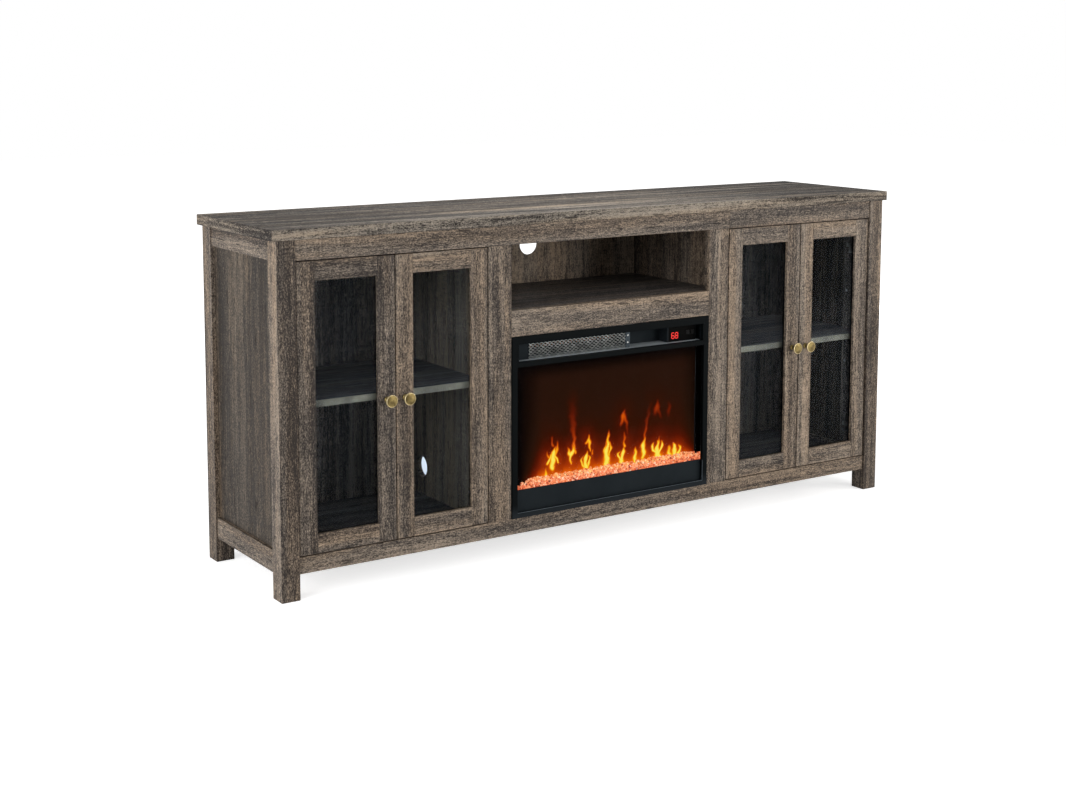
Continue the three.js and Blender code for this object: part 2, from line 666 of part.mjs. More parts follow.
// Expanded metal: a plate pierced by staggered diamonds, standing on the vent's shelf.
function heaterGrille() {
  const [left, right] = grilleSpan();
  const bottom = ventBottom + FIT_GAP;
  const top = ventTop - FIT_GAP;
  const columnPitch = (right - left) / (GRILLE_COLUMNS + 1);
  const rowPitch = (top - bottom) / (GRILLE_ROWS + 1);
  const halfWide = columnPitch / 2 - GRILLE_STRAND / 2;
  const halfHigh = rowPitch - GRILLE_STRAND;
  const diamonds = [];
  for (let row = 0; row < GRILLE_ROWS; row++) {
    const stagger = row % 2 ? columnPitch / 2 : 0;
    for (let column = 0; column < GRILLE_COLUMNS; column++) {
      const x = left + columnPitch * (column + 0.75) + stagger;
      const z = bottom + rowPitch * (row + 1);
      diamonds.push([[x - halfWide, z], [x, z - halfHigh], [x + halfWide, z], [x, z + halfHigh]]);
    }
  }
  const shape = shapeWithHoles(rectangle([left, right], [bottom, top]), [], diamonds);
  const front = insertFront + GRILLE_SETBACK;
  return nameMesh("heater_grille", prism(shape, "y", [front, front + GRILLE_THICKNESS]), MESH_STEEL);
}

const controlSpan = () => [insertHalf - CONTROL_RIGHT - CONTROL_WIDTH, insertHalf - CONTROL_RIGHT];
const controlMiddle = (ventBottom + ventTop) / 2;
const buttonX = (index) => controlSpan()[1] - BUTTON_WIDTH - index * BUTTON_PITCH;

// The control box in the vent, with a pocket behind its face for each button.
function controlBox() {
  const front = insertFront + GRILLE_SETBACK;
  const box = block(controlSpan(), [front, front + CONTROL_DEPTH], [ventBottom + FIT_GAP, ventTop - FIT_GAP]);
  const pockets = [0, 1].map((index) => {
    const halfWide = BUTTON_WIDTH / 2 + BUTTON_CLEARANCE;
    const halfHigh = BUTTON_HEIGHT / 2 + BUTTON_CLEARANCE;
    return block(
      [buttonX(index) - halfWide, buttonX(index) + halfWide],
      [front - OVERRUN, front + BUTTON_STEM + BUTTON_PROUD * 2],
      [controlMiddle - halfHigh, controlMiddle + halfHigh],
    );
  });
  return nameMesh("control_box", cut(box, ...pockets), BLACK_PLASTIC);
}

function controlButton(name, index) {
  const front = insertFront + GRILLE_SETBACK - BUTTON_PROUD;
  const geometry = block(
    [-BUTTON_WIDTH / 2, BUTTON_WIDTH / 2],
    [0, BUTTON_PROUD + BUTTON_STEM],
    [-BUTTON_HEIGHT / 2, BUTTON_HEIGHT / 2],
  );
  const mesh = nameMesh(name, geometry, BLACK_PLASTIC);
  mesh.position.set(buttonX(index), front, controlMiddle);
  return mesh;
}

const spindleY = insertFront + SPINDLE_SETBACK;
const spindleZ = insertBottom + SPINDLE_HEIGHT;
const motorEnd = -housingHalf + SHEET + MOTOR_LENGTH;
const bearingStart = housingHalf - SHEET - MOTOR_LENGTH / 2;

// The rod behind the screen that throws the moving light: foil vanes at turning angles.
function flameSpindle() {
  const from = motorEnd + RUNNING_GAP;
  const to = bearingStart - RUNNING_GAP;
  const pitch = (to - from) / SPINDLE_VANES;
  const rod = turned(rodProfile(SPINDLE_RADIUS, from, to), "x", [0, 0, 0], ROUND_SEGMENTS / 2);
  const vanes = Array.from({ length: SPINDLE_VANES }, (_, index) => {
    const start = from + pitch * (index + (1 - VANE_FILL_SHARE) / 2);
    const vane = block(
      [start, start + pitch * VANE_FILL_SHARE],
      [-VANE_REACH, VANE_REACH],
      [-VANE_THICKNESS / 2, VANE_THICKNESS / 2],
    );
    return vane.rotateX((index * Math.PI) / SPINDLE_VANES);
  });
  const mesh = nameMesh("flame_spindle", joined(rod, ...vanes), GALVANISED);
  mesh.position.set(0, spindleY, spindleZ);
  return mesh;
}

// The spindle's geared motor on the housing's left wall.
function spindleMotor() {
  const profile = rodProfile(MOTOR_RADIUS, -housingHalf + SHEET + FIT_GAP, motorEnd);
  return nameMesh("spindle_motor", turned(profile, "x", [0, spindleY, spindleZ]), GALVANISED);
}

const wheelY = insertFront + WHEEL_SETBACK;
const wheelZ = (ventBottom + ventTop) / 2;
const ductSpan = () => {
  const [left, right] = grilleSpan();
  return [left, right];
};

// The cross-flow wheel of the heater's blower: two end discs, a shaft and a cage of blades.
function blowerWheel() {
  const [left, right] = ductSpan();
  const from = left + DUCT_WALL + RUNNING_GAP;
  const to = right - DUCT_WALL - RUNNING_GAP;
  const disc = (start) => turned(rodProfile(WHEEL_RADIUS, start, start + WHEEL_END_THICKNESS), "x", [0, 0, 0]);
  const shaft = turned(rodProfile(WHEEL_HUB_RADIUS, from, to), "x", [0, 0, 0], ROUND_SEGMENTS / 2);
  const blades = Array.from({ length: WHEEL_BLADES }, (_, index) => {
    const outer = WHEEL_RADIUS - WHEEL_BLADE_THICKNESS;
    const blade = block(
      [from + WHEEL_END_THICKNESS / 2, to - WHEEL_END_THICKNESS / 2],
      [outer - WHEEL_BLADE_LENGTH, outer],
      [-WHEEL_BLADE_THICKNESS / 2, WHEEL_BLADE_THICKNESS / 2],
    );
    return blade.rotateX((index * 2 * Math.PI) / WHEEL_BLADES);
  });
  const middle = (from + to - WHEEL_END_THICKNESS) / 2;
  const discs = [disc(from), disc(middle), disc(to - WHEEL_END_THICKNESS)];
  const mesh = nameMesh("blower_wheel", joined(shaft, ...discs, ...blades), GALVANISED);
  mesh.position.set(0, wheelY, wheelZ);
  return mesh;
}

// The blower's duct: a trough round the wheel, open to the outlet, with an end wall at each side.
function blowerDuct() {
  const [left, right] = ductSpan();
  const radius = WHEEL_RADIUS + DUCT_CLEARANCE;
  const mouth = ventBack + FIT_GAP;
  const lowest = wheelZ - Math.min(radius, (VENT_HEIGHT + SHEET) / 2);
  const highest = wheelZ + Math.min(radius, (VENT_HEIGHT + SHEET) / 2);
  const rear = wheelY + radius;
  const outline = rectangle([mouth, rear + DUCT_WALL], [lowest - DUCT_WALL, highest + DUCT_WALL]);
  const inside = rectangle([mouth - OVERRUN, rear], [lowest, highest]);
  const body = prism(outline, "x", [left, right]);
  const hollow = prism(inside, "x", [left + DUCT_WALL, right - DUCT_WALL]);
  return nameMesh("blower_duct", cut(body, hollow), GALVANISED);
}

function insert() {
  const group = new THREE.Group();
  group.add(
    insertTrim(),
    insertHousing(),
    fascia(),
    fireGlass(),
    emberBed(),
    flameScreen(),
    heaterGrille(),
    controlBox(),
    controlButton("power_button", 0),
    controlButton("heat_button", 1),
    flameSpindle(),
    spindleMotor(),
    blowerWheel(),
    blowerDuct(),
  );
  return group;
}

function carcass() {
  const group = new THREE.Group();
  group.add(topSlab(), ...legs(), ...caseEnd(-1, "left"), ...caseEnd(1, "right"), ...faceFrame());
  group.add(partition(-1, "left"), partition(1, "right"), floorBoard(), middleDeck(), backPanel());
  group.add(cupboardShelf(-1, "left"), cupboardShelf(1, "right"));
  return group;
}

// The four doors in order from the left, each hinged on the case and meeting its neighbour.
function doorsAndHinges() {
  const group = new THREE.Group();
  const places = [
    ["left_outer", -legInner + DOOR_GAP, 1],
    ["left_inner", -stileOuter - DOOR_GAP, -1],
    ["right_inner", stileOuter + DOOR_GAP, 1],
    ["right_outer", legInner - DOOR_GAP, -1],
  ];
  for (const [word, hingeX, reach] of places) {
    group.add(door(word, hingeX, reach), ...hinge(word, hingeX, reach));
  }
  return group;
}

const mediaConsole = new THREE.Group();
mediaConsole.add(carcass(), doorsAndHinges(), insert());
mediaConsole.position.set(0, -(knobFront + slabRear) / 2, 0);

export default mediaConsole;
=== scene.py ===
"""A weathered oak television stand with an electric fire, dressed around its packed construction model.

Lengths are in metres in the model's own frame: X to the right, Y to the back, Z up. Colours are written as
display values from 0 to 255 and turned into the linear values that the shaders take.
"""

import logging
import math
from dataclasses import dataclass, field
from enum import Enum
from typing import Callable, Iterable, Sequence

import bmesh
import bpy
import numpy as np
from mathutils import Matrix, Vector


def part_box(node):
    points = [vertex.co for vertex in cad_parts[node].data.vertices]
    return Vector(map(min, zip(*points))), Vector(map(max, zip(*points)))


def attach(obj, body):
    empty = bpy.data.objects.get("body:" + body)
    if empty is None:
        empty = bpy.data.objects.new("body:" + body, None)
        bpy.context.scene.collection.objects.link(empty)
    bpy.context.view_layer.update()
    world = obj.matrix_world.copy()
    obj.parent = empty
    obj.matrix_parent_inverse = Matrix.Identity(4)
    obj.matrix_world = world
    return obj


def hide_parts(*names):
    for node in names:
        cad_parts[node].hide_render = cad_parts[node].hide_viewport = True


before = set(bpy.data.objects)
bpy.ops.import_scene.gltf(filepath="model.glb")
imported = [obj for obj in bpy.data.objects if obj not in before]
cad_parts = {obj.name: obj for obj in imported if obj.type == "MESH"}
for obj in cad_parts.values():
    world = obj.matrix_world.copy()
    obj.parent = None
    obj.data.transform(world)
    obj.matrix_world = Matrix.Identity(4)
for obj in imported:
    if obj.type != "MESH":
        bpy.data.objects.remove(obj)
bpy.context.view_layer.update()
LOG = logging.getLogger("television_stand")
MM = 0.001
SEED = 11

SIDES = (("left", -1), ("right", 1))
MERGED_WITHIN = 1e-6
COLLAPSED_UNDER = 1e-7

Colour = tuple[float, float, float, float]


def display(red: float, green: float, blue: float) -> Colour:
    """Turn a display colour into a shader colour.

    Args:
        red: the red part, 0 to 255.
        green: the green part, 0 to 255.
        blue: the blue part, 0 to 255.

    Returns:
        The linear colour with an alpha of one.
    """
    parts = np.array([red, green, blue]) / 255.0
    linear = np.where(parts <= 0.04045, parts / 12.92, ((parts + 0.055) / 1.055) ** 2.4)
    return (float(linear[0]), float(linear[1]), float(linear[2]), 1.0)


class Grain(Enum):
    """How a board's length, width and thickness lie on the axes, as axis numbers."""

    LEVEL = (0, 2, 1)
    FLAT = (0, 1, 2)
    UPRIGHT = (2, 0, 1)
    SIDE_UPRIGHT = (2, 1, 0)
    SIDE_LEVEL = (1, 2, 0)


@dataclass(frozen=True)
class Box:
    """A block of space between its lowest and its highest corner."""

    low: np.ndarray
    high: np.ndarray

    @classmethod
    def of(cls, node: str) -> "Box":
        """The box that a construction node fills."""
        low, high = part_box(node)
        return cls(np.array(low), np.array(high))

    @classmethod
    def spans(cls, x: Sequence[float], y: Sequence[float], z: Sequence[float]) -> "Box":
        """The box between two places on each axis."""
        return cls(np.array([x[0], y[0], z[0]], float), np.array([x[1], y[1], z[1]], float))

    def size(self) -> np.ndarray:
        """The lengths of its edges."""
        return self.high - self.low

    def middle(self) -> np.ndarray:
        """Its centre."""
        return (self.high + self.low) / 2


@dataclass
class Shell:
    """A closed surface: its points, and its faces as lists of point numbers."""

    points: np.ndarray
    faces: list[list[int]]

    @classmethod
    def lofted(cls, rings: np.ndarray, ring_path: bool = False) -> "Shell":
        """Join closed outlines, one after another, into a surface.

        Point j of outline i is rings[i, j]. Each face joins points j and j + 1 of outlines i and i + 1.

        Args:
            rings: the outlines, as an array of outline, point and axis.
            ring_path: true where the last outline joins the first; else both ends are capped.

        Returns:
            The closed surface.
        """
        sections, count, _ = rings.shape
        index = np.arange(sections * count).reshape(sections, count)
        after = np.roll(index, -1, axis=0) if ring_path else index[1:]
        before = index if ring_path else index[:-1]
        quads = np.stack(
            [before, np.roll(before, -1, axis=1), np.roll(after, -1, axis=1), after], axis=-1
        ).reshape(-1, 4)
        faces = quads.tolist()
        if not ring_path:
            faces += [index[0][::-1].tolist(), index[-1].tolist()]
        return cls(rings.reshape(-1, 3), faces)

    @classmethod
    def joined(cls, shells: Iterable["Shell"]) -> "Shell":
        """Several surfaces as one piece."""
        points, faces, start = [], [], 0
        for shell in shells:
            points.append(shell.points)
            faces += [[number + start for number in face] for face in shell.faces]
            start += len(shell.points)
        return cls(np.concatenate(points), faces)


def eased_block(box: Box, grain: Grain, radius: float, steps: int = 3) -> Shell:
    """A board with every edge rounded over.

    The outline across the board is a rectangle whose corners are quarter circles. It is carried along the
    board, and at each end the quarter circles shrink as the cosine of an angle while the outline moves in
    as its sine, so that the end edges are rounded by the same radius.

    Args:
        box: the space that the board fills.
        grain: how the board lies.
        radius: the radius of every edge.
        steps: faces across each rounded edge.

    Returns:
        The closed surface.
    """
    along, across, through = grain.value
    half = box.size() / 2
    quarter = np.linspace(0, math.pi / 2, steps + 1)
    turn = np.concatenate([quarter + math.pi / 2 * corner for corner in range(4)])
    sign_across = np.repeat([1, -1, -1, 1], steps + 1)
    sign_through = np.repeat([1, 1, -1, -1], steps + 1)
    shrink = np.concatenate([np.sin(quarter), np.sin(quarter[::-1])])
    slide = np.concatenate([
        -(half[along] - radius) - radius * np.cos(quarter),
        (half[along] - radius) + radius * np.cos(quarter[::-1]),
    ])
    rings = np.zeros((len(shrink), len(turn), 3))
    rings[:, :, along] = slide[:, None]
    rings[:, :, across] = sign_across * (half[across] - radius) + radius * shrink[:, None] * np.cos(turn)
    rings[:, :, through] = sign_through * (half[through] - radius) + radius * shrink[:, None] * np.sin(turn)
    return Shell.lofted(rings + box.middle())


def turned(profile: Sequence[Sequence[float]], centre: Sequence[float], axis: int, segments: int) -> Shell:
    """A surface turned about an axis.

    Point j of outline i lies at the profile's radius times the cosine and the sine of the angle
    2 pi j / segments, at the profile's height along the axis.

    Args:
        profile: radius and height pairs from the axis round to the axis again.
        centre: where height nought lies.
        axis: the number of the axis to turn about.
        segments: faces round it.

    Returns:
        The closed surface, whose first and last outline may be a point.
    """
    outline = np.array(profile, float)
    angle = np.arange(segments) * 2 * math.pi / segments
    side, other = [number for number in range(3) if number != axis]
    rings = np.zeros((len(outline), segments, 3))
    rings[:, :, side] = outline[:, 0:1] * np.cos(angle)
    rings[:, :, other] = outline[:, 0:1] * np.sin(angle)
    rings[:, :, axis] = outline[:, 1:2]
    return Shell.lofted(rings + np.array(centre, float))


def swept(path: np.ndarray, outline: np.ndarray, side: np.ndarray, ring_path: bool = False) -> Shell:
    """An outline carried along a path.

    At each point of the path, an outline point (a, b) lies a along the side direction and b along the
    direction square to both the side and the path.

    Args:
        path: the points of the path.
        outline: the outline's points as pairs.
        side: one direction for every point, or a single one for all.
        ring_path: true where the path closes on itself.

    Returns:
        The closed surface.
    """
    if ring_path:
        along = np.roll(path, -1, axis=0) - np.roll(path, 1, axis=0)
    else:
        along = np.gradient(path, axis=0)
    along /= np.linalg.norm(along, axis=1, keepdims=True)
    sides = np.broadcast_to(side, path.shape).astype(float)
    sides = sides - along * (sides * along).sum(axis=1, keepdims=True)
    sides /= np.linalg.norm(sides, axis=1, keepdims=True)
    ups = np.cross(along, sides)
    rings = path[:, None] + outline[None, :, 0:1] * sides[:, None] + outline[None, :, 1:2] * ups[:, None]
    return Shell.lofted(rings, ring_path)


class Head(Enum):
    """Small round heads and pegs.

    Each has its number of faces, then pairs of radius and height in millimetres, from its foot's rim out.
    """

    SHELF_PIN = (16, (2.5, 0), (2.5, 7), (1.75, 8), (0, 8))
    PANEL_NAIL = (8, (2.4, 0), (2.2, 0.7), (1.2, 1.1), (0, 1.2))
    CLEAT_CAP = (14, (3.6, 0), (3.06, 0.9), (0, 1.4))
    KNOB_SCREW = (20, (4.2, 0), (4.2, 0.8), (2.6, 1.9), (0, 2.2))
    DOOR_BUMPER = (16, (4, 0), (3.6, 1.0), (2, 1.5), (0, 1.6))
    CUP_SCREW = (16, (3.2, 0), (3.0, 0.5), (1.6, 1.0), (0, 1.1))
    GRILLE_SCREW = (14, (2.6, 0), (2.4, 0.7), (1.2, 1.1), (0, 1.2))
    COVER_SCREW = (16, (3.4, 0), (3.2, 0.9), (1.8, 1.6), (0, 1.8))
    BULB = (12, (2.2, 0), (2.2, 1.2), (1.6, 2.4), (0, 3))

    def at(self, place: Sequence[float], axis: int = 1, way: int = 1) -> Shell:
        """One head that stands on a place.

        Args:
            place: the middle of its foot.
            axis: the number of the axis that it stands along.
            way: one where it points up that axis, minus one where it points down.

        Returns:
            The closed surface.
        """
        segments, *pairs = self.value
        profile = [(0, 0)] + [(radius * MM, way * height * MM) for radius, height in pairs]
        return turned(profile, place, axis, segments)


def circle_outline(radius: float, segments: int) -> np.ndarray:
    """A circle's points as pairs, at even angles."""
    angle = np.arange(segments) * 2 * math.pi / segments
    return np.stack([np.cos(angle), np.sin(angle)], axis=1) * radius


class Tree:
    """A shader's node tree, with a short call for each kind of node that the finishes use."""

    def __init__(self, tree: bpy.types.NodeTree) -> None:
        """Take an empty tree."""
        self.tree = tree
        tree.nodes.clear()

    def put(self, socket: bpy.types.NodeSocket, value: object) -> None:
        """Link a socket to another, or write its value."""
        if isinstance(value, bpy.types.NodeSocket):
            self.tree.links.new(value, socket)
        else:
            socket.default_value = value

    def add(self, kind: str, inputs: dict | None = None, **settings: object) -> bpy.types.Node:
        """Add a node.

        Args:
            kind: the node's type name.
            inputs: values or sockets by input name or number.
            settings: the node's own properties.

        Returns:
            The node.
        """
        node = self.tree.nodes.new(kind)
        for key, value in settings.items():
            setattr(node, key, value)
        for key, value in (inputs or {}).items():
            self.put(node.inputs[key], value)
        return node

    def math(self, operation: str, first: object, second: object = 0.0) -> bpy.types.NodeSocket:
        """The result of a sum on two numbers."""
        return self.add("ShaderNodeMath", {0: first, 1: second}, operation=operation).outputs[0]

    def plus(self, first: object, second: object) -> bpy.types.NodeSocket:
        """Two numbers added."""
        return self.math("ADD", first, second)

    def times(self, first: object, second: object) -> bpy.types.NodeSocket:
        """Two numbers multiplied."""
        return self.math("MULTIPLY", first, second)

    def swing(self, value: object, weight: object, middle: float = 0.5) -> bpy.types.NodeSocket:
        """How far a value lies above a middle, times a weight."""
        return self.times(self.math("SUBTRACT", value, middle), weight)

    def vector(self, operation: str, first: object, second: object) -> bpy.types.NodeSocket:
        """The result of a sum on two vectors."""
        return self.add("ShaderNodeVectorMath", {0: first, 1: second}, operation=operation).outputs[0]

    def noise(
        self, place: object, scale: Sequence[float], detail: float = 2.0, rough: float = 0.5,
    ) -> bpy.types.NodeSocket:
        """Noise of nought to one, with its own scale on each axis."""
        scaled = self.vector("MULTIPLY", place, tuple(scale))
        inputs = {"Vector": scaled, "Scale": 1.0, "Detail": detail, "Roughness": rough}
        return self.add("ShaderNodeTexNoise", inputs).outputs[0]

    def grained(self, place: object, along: float, across: float, *more: float) -> bpy.types.NodeSocket:
        """Noise with one scale along the grain and another across it."""
        return self.noise(place, (along, across, across), *more)

    def ranged(
        self, value: object, low: float, high: float, to_low: float = 0.0, to_high: float = 1.0,
    ) -> bpy.types.NodeSocket:
        """A value moved from one range to another, smoothly, and held inside it."""
        inputs = {0: value, 1: low, 2: high, 3: to_low, 4: to_high}
        return self.add("ShaderNodeMapRange", inputs, interpolation_type="SMOOTHSTEP").outputs[0]

    def ramp(self, value: object, stops: Sequence[tuple[float, Colour]]) -> bpy.types.NodeSocket:
        """A colour read off a row of stops."""
        node = self.add("ShaderNodeValToRGB", {"Fac": value})
        elements = node.color_ramp.elements
        elements[0].position, elements[0].color = stops[0]
        elements[1].position, elements[1].color = stops[-1]
        for place, colour in stops[1:-1]:
            elements.new(place).color = colour
        return node.outputs[0]

    def mix(self, share: object, first: object, second: object, blend: str = "MIX") -> bpy.types.NodeSocket:
        """Two colours mixed."""
        inputs = {0: share, 6: first, 7: second}
        return self.add("ShaderNodeMix", inputs, data_type="RGBA", blend_type=blend).outputs[2]

    def bump(self, height: object, depth: float, strength: float = 1.0) -> bpy.types.NodeSocket:
        """A normal bent by a height."""
        inputs = {"Strength": strength, "Distance": depth, "Height": height}
        return self.add("ShaderNodeBump", inputs).outputs[0]

    def attribute(self, name: str) -> bpy.types.Node:
        """The node that reads one of the piece's own attributes."""
        return self.add("ShaderNodeAttribute", attribute_name=name)

    def object_place(self) -> bpy.types.NodeSocket:
        """The place on the piece, in the piece's own frame."""
        return self.add("ShaderNodeTexCoord").outputs["Object"]

    def seen_plainly(self) -> bpy.types.NodeSocket:
        """One on a ray from the camera, mirrored or let through on its way at the most, else nought."""
        path = self.add("ShaderNodeLightPath").outputs
        seen = self.math("MAXIMUM", path["Is Camera Ray"], path["Is Glossy Ray"])
        seen = self.math("MAXIMUM", seen, path["Is Transmission Ray"])
        return self.times(seen, self.math("LESS_THAN", path["Diffuse Depth"], 0.5))

    def surface(self, shader: bpy.types.NodeSocket) -> None:
        """Send a shader to the material's output."""
        self.add("ShaderNodeOutputMaterial", {"Surface": shader})

    def principled(self, inputs: dict) -> bpy.types.NodeSocket:
        """A principled shader's output."""
        return self.add("ShaderNodeBsdfPrincipled", inputs).outputs[0]


def new_material(name: str) -> tuple[bpy.types.Material, Tree]:
    """A new material with an empty tree."""
    material = bpy.data.materials.new(name)
    material.use_nodes = True
    return material, Tree(material.node_tree)


OAK_LAYERS = {
    "clouds": (4.5, 26.0, 3.0, 0.6),
    "streaks": (0.9, 15.0, 2.0, 0.5),
    "bands": (1.3, 42.0, 3.0, 0.6),
    "lines": (2.6, 120.0, 2.0, 0.55),
    "dashes": (24.0, 210.0, 2.0, 0.6),
    "fibres": (60.0, 540.0, 1.0, 0.5),
    "grit": (230.0, 500.0, 2.0, 0.65),
}
OAK_WEIGHTS = {"clouds": 0.4, "dashes": 0.45, "fibres": 1.0, "grit": 2.3}


@dataclass(frozen=True)
class OakFinish:
    """Weathered oak: cool grey and warm brown streaks, dark growth lines, open pores and faint saw marks."""

    darkest: Colour = display(42, 37, 34)
    dark: Colour = display(71, 63, 56)
    middle: Colour = display(100, 89, 79)
    light: Colour = display(127, 113, 98)
    lightest: Colour = display(149, 132, 114)
    cool_tint: Colour = (0.93, 0.98, 1.04, 1.0)
    warm_tint: Colour = (1.04, 1.00, 0.95, 1.0)
    pore: Colour = display(38, 34, 32)
    roughness: float = 0.55

    def pattern(self) -> bpy.types.NodeTree:
        """Build the node group that turns a place in the board into colour, roughness and height.

        A layer's four numbers are its scales along and across the grain, its detail and its roughness.

        Returns:
            The group, which takes the place with the grain along X, a tone and how strong the streaks are.
        """
        group = bpy.data.node_groups.new("oak_pattern", "ShaderNodeTree")
        sockets = (
            ("INPUT", "Place", "NodeSocketVector"), ("INPUT", "Tone", "NodeSocketFloat"),
            ("INPUT", "Streak", "NodeSocketFloat"), ("OUTPUT", "Color", "NodeSocketColor"),
            ("OUTPUT", "Roughness", "NodeSocketFloat"), ("OUTPUT", "Height", "NodeSocketFloat"),
        )
        for way, name, kind in sockets:
            group.interface.new_socket(name, in_out=way, socket_type=kind)
        tree = Tree(group)
        given = tree.add("NodeGroupInput").outputs
        place = given["Place"]
        sway = tree.add("ShaderNodeTexNoise", {
            "Vector": tree.vector("MULTIPLY", place, (3.0, 9.0, 9.0)), "Scale": 1.0, "Detail": 2.0,
        }).outputs["Color"]
        sway = tree.vector("SUBTRACT", sway, (0.5, 0.5, 0.5))
        bent = tree.vector("ADD", place, tree.vector("MULTIPLY", sway, (0.0, 0.012, 0.012)))

        # Growth rings, each with a dark late band that comes and goes
        growth = tree.math("FRACT", tree.times(tree.grained(bent, 0.8, 7.5, 1.0, 0.4), 18.0))
        late = tree.times(tree.ranged(growth, 0.25, 0.85), tree.ranged(growth, 1.0, 0.9))
        late = tree.times(late, tree.ranged(tree.grained(place, 2.0, 16.0, 2.0), 0.40, 0.62))
        # Layers of noise from broad to fine, added up to one value that a ramp turns into a tone
        layers = {name: tree.grained(bent, *settings) for name, settings in OAK_LAYERS.items()}
        value = 0.5
        for name, weight in OAK_WEIGHTS.items():
            value = tree.plus(value, tree.swing(layers[name], weight))
        broad = tree.plus(tree.times(layers["streaks"], 0.6), tree.times(layers["bands"], 0.7))
        broad = tree.plus(broad, tree.times(layers["lines"], 0.5))
        value = tree.plus(value, tree.swing(broad, given["Streak"], 0.9))
        value = tree.math("SUBTRACT", value, tree.times(late, 0.16))
        value = tree.plus(value, given["Tone"])
        tones = (self.darkest, self.dark, self.middle, self.light, self.lightest)
        colour = tree.ramp(value, list(zip((0.08, 0.30, 0.52, 0.74, 0.96), tones)))
        drift = tree.ranged(tree.grained(bent, 1.2, 20.0, 3.0, 0.55), 0.40, 0.60)
        colour = tree.mix(0.8, colour, tree.mix(drift, self.cool_tint, self.warm_tint), "MULTIPLY")

        # Open pores, longer drying checks, and faint saw marks in patches
        pores = tree.ranged(tree.grained(bent, 42.0, 400.0, 1.0), 0.60, 0.68)
        pores = tree.times(pores, tree.ranged(layers["clouds"], 0.60, 0.42, 0.3, 1.0))
        checks = tree.ranged(tree.grained(bent, 16.0, 150.0, 2.0, 0.55), 0.64, 0.70)
        marks = tree.math("MAXIMUM", tree.times(pores, 0.6), tree.times(checks, 0.75))
        colour = tree.mix(marks, colour, self.pore)
        saw_patch = tree.ranged(tree.grained(place, 3.0, 10.0, 1.0), 0.42, 0.62, 0.25, 1.0)
        saw = tree.swing(tree.grained(place, 230.0, 34.0, 1.0), saw_patch)
        gain = tree.plus(1.0, tree.times(saw, 1.1))
        gains = tree.add("ShaderNodeCombineColor", {0: gain, 1: gain, 2: gain}).outputs[0]
        colour = tree.mix(1.0, colour, gains, "MULTIPLY")
        rough = tree.plus(self.roughness, tree.times(marks, 0.25))
        rough = tree.plus(rough, tree.swing(layers["fibres"], 0.25))
        height = tree.plus(tree.times(layers["fibres"], 0.35), tree.times(saw, 0.4))
        height = tree.math("SUBTRACT", height, marks)
        tree.add("NodeGroupOutput", {"Color": colour, "Roughness": rough, "Height": height})
        return group

    def material(
        self,
        name: str,
        group: bpy.types.NodeTree,
        grain: Grain | None,
        tone: float,
        streak: float,
        cast: Colour = (1.0, 1.0, 1.0, 1.0),
        specular: float = 0.12,
    ) -> bpy.types.Material:
        """Make the oak of one kind of board.

        Args:
            name: the material's name.
            group: the pattern's node group.
            grain: how a construction node's board lies, or None where the piece carries its own place.
            tone: how much lighter the board is, where it carries no tone of its own.
            streak: how strong its long streaks are.
            cast: a colour that the oak's own is multiplied by.
            specular: how strongly its face mirrors.

        Returns:
            The material.
        """
        material, tree = new_material(name)
        if grain is None:
            place = tree.attribute("grain").outputs["Vector"]
            tone = tree.plus(tree.attribute("tone").outputs["Fac"], tone)
        else:
            parts = tree.add("ShaderNodeSeparateXYZ", {0: tree.object_place()}).outputs
            turned_parts = {number: parts[axis] for number, axis in enumerate(grain.value)}
            place = tree.add("ShaderNodeCombineXYZ", turned_parts).outputs[0]
        oak = tree.add("ShaderNodeGroup", node_tree=group)
        for socket, value in (("Place", place), ("Tone", tone), ("Streak", streak)):
            tree.put(oak.inputs[socket], value)
        tree.surface(tree.principled({
            "Base Color": tree.mix(1.0, oak.outputs["Color"], cast, "MULTIPLY"),
            "Roughness": oak.outputs["Roughness"],
            "Specular IOR Level": specular,
            "Normal": tree.bump(oak.outputs["Height"], 0.25 * MM, 0.7),
        }))
        return material


@dataclass(frozen=True)
class MetalFinish:
    """A bare or plated metal with a fine uneven sheen."""

    name: str
    colour: Colour
    shade: Colour
    roughness: float
    speckle: float = 900.0
    bump_depth: float = 0.04 * MM
    # The colour of a painted highlight, laid where the piece's rim highlight attribute says so
    highlight_colour: Colour | None = None

    def material(self) -> bpy.types.Material:
        """Make the metal, with a painted highlight colour where the piece's rim highlight attribute says so.
        """
        material, tree = new_material(self.name)
        place = tree.object_place()
        cloud = tree.noise(place, (60.0, 60.0, 60.0), 4.0, 0.6)
        fine = tree.noise(place, (self.speckle,) * 3, 2.0, 0.6)
        colour = tree.mix(tree.ranged(cloud, 0.35, 0.65), self.shade, self.colour)
        if self.highlight_colour is not None:
            colour = tree.mix(tree.attribute("rim_highlight").outputs["Fac"], colour, self.highlight_colour)
        tree.surface(tree.principled({
            "Base Color": colour,
            "Metallic": 1.0,
            "Roughness": tree.plus(self.roughness, tree.swing(fine, 0.2)),
            "Normal": tree.bump(fine, self.bump_depth, 0.5),
        }))
        return material


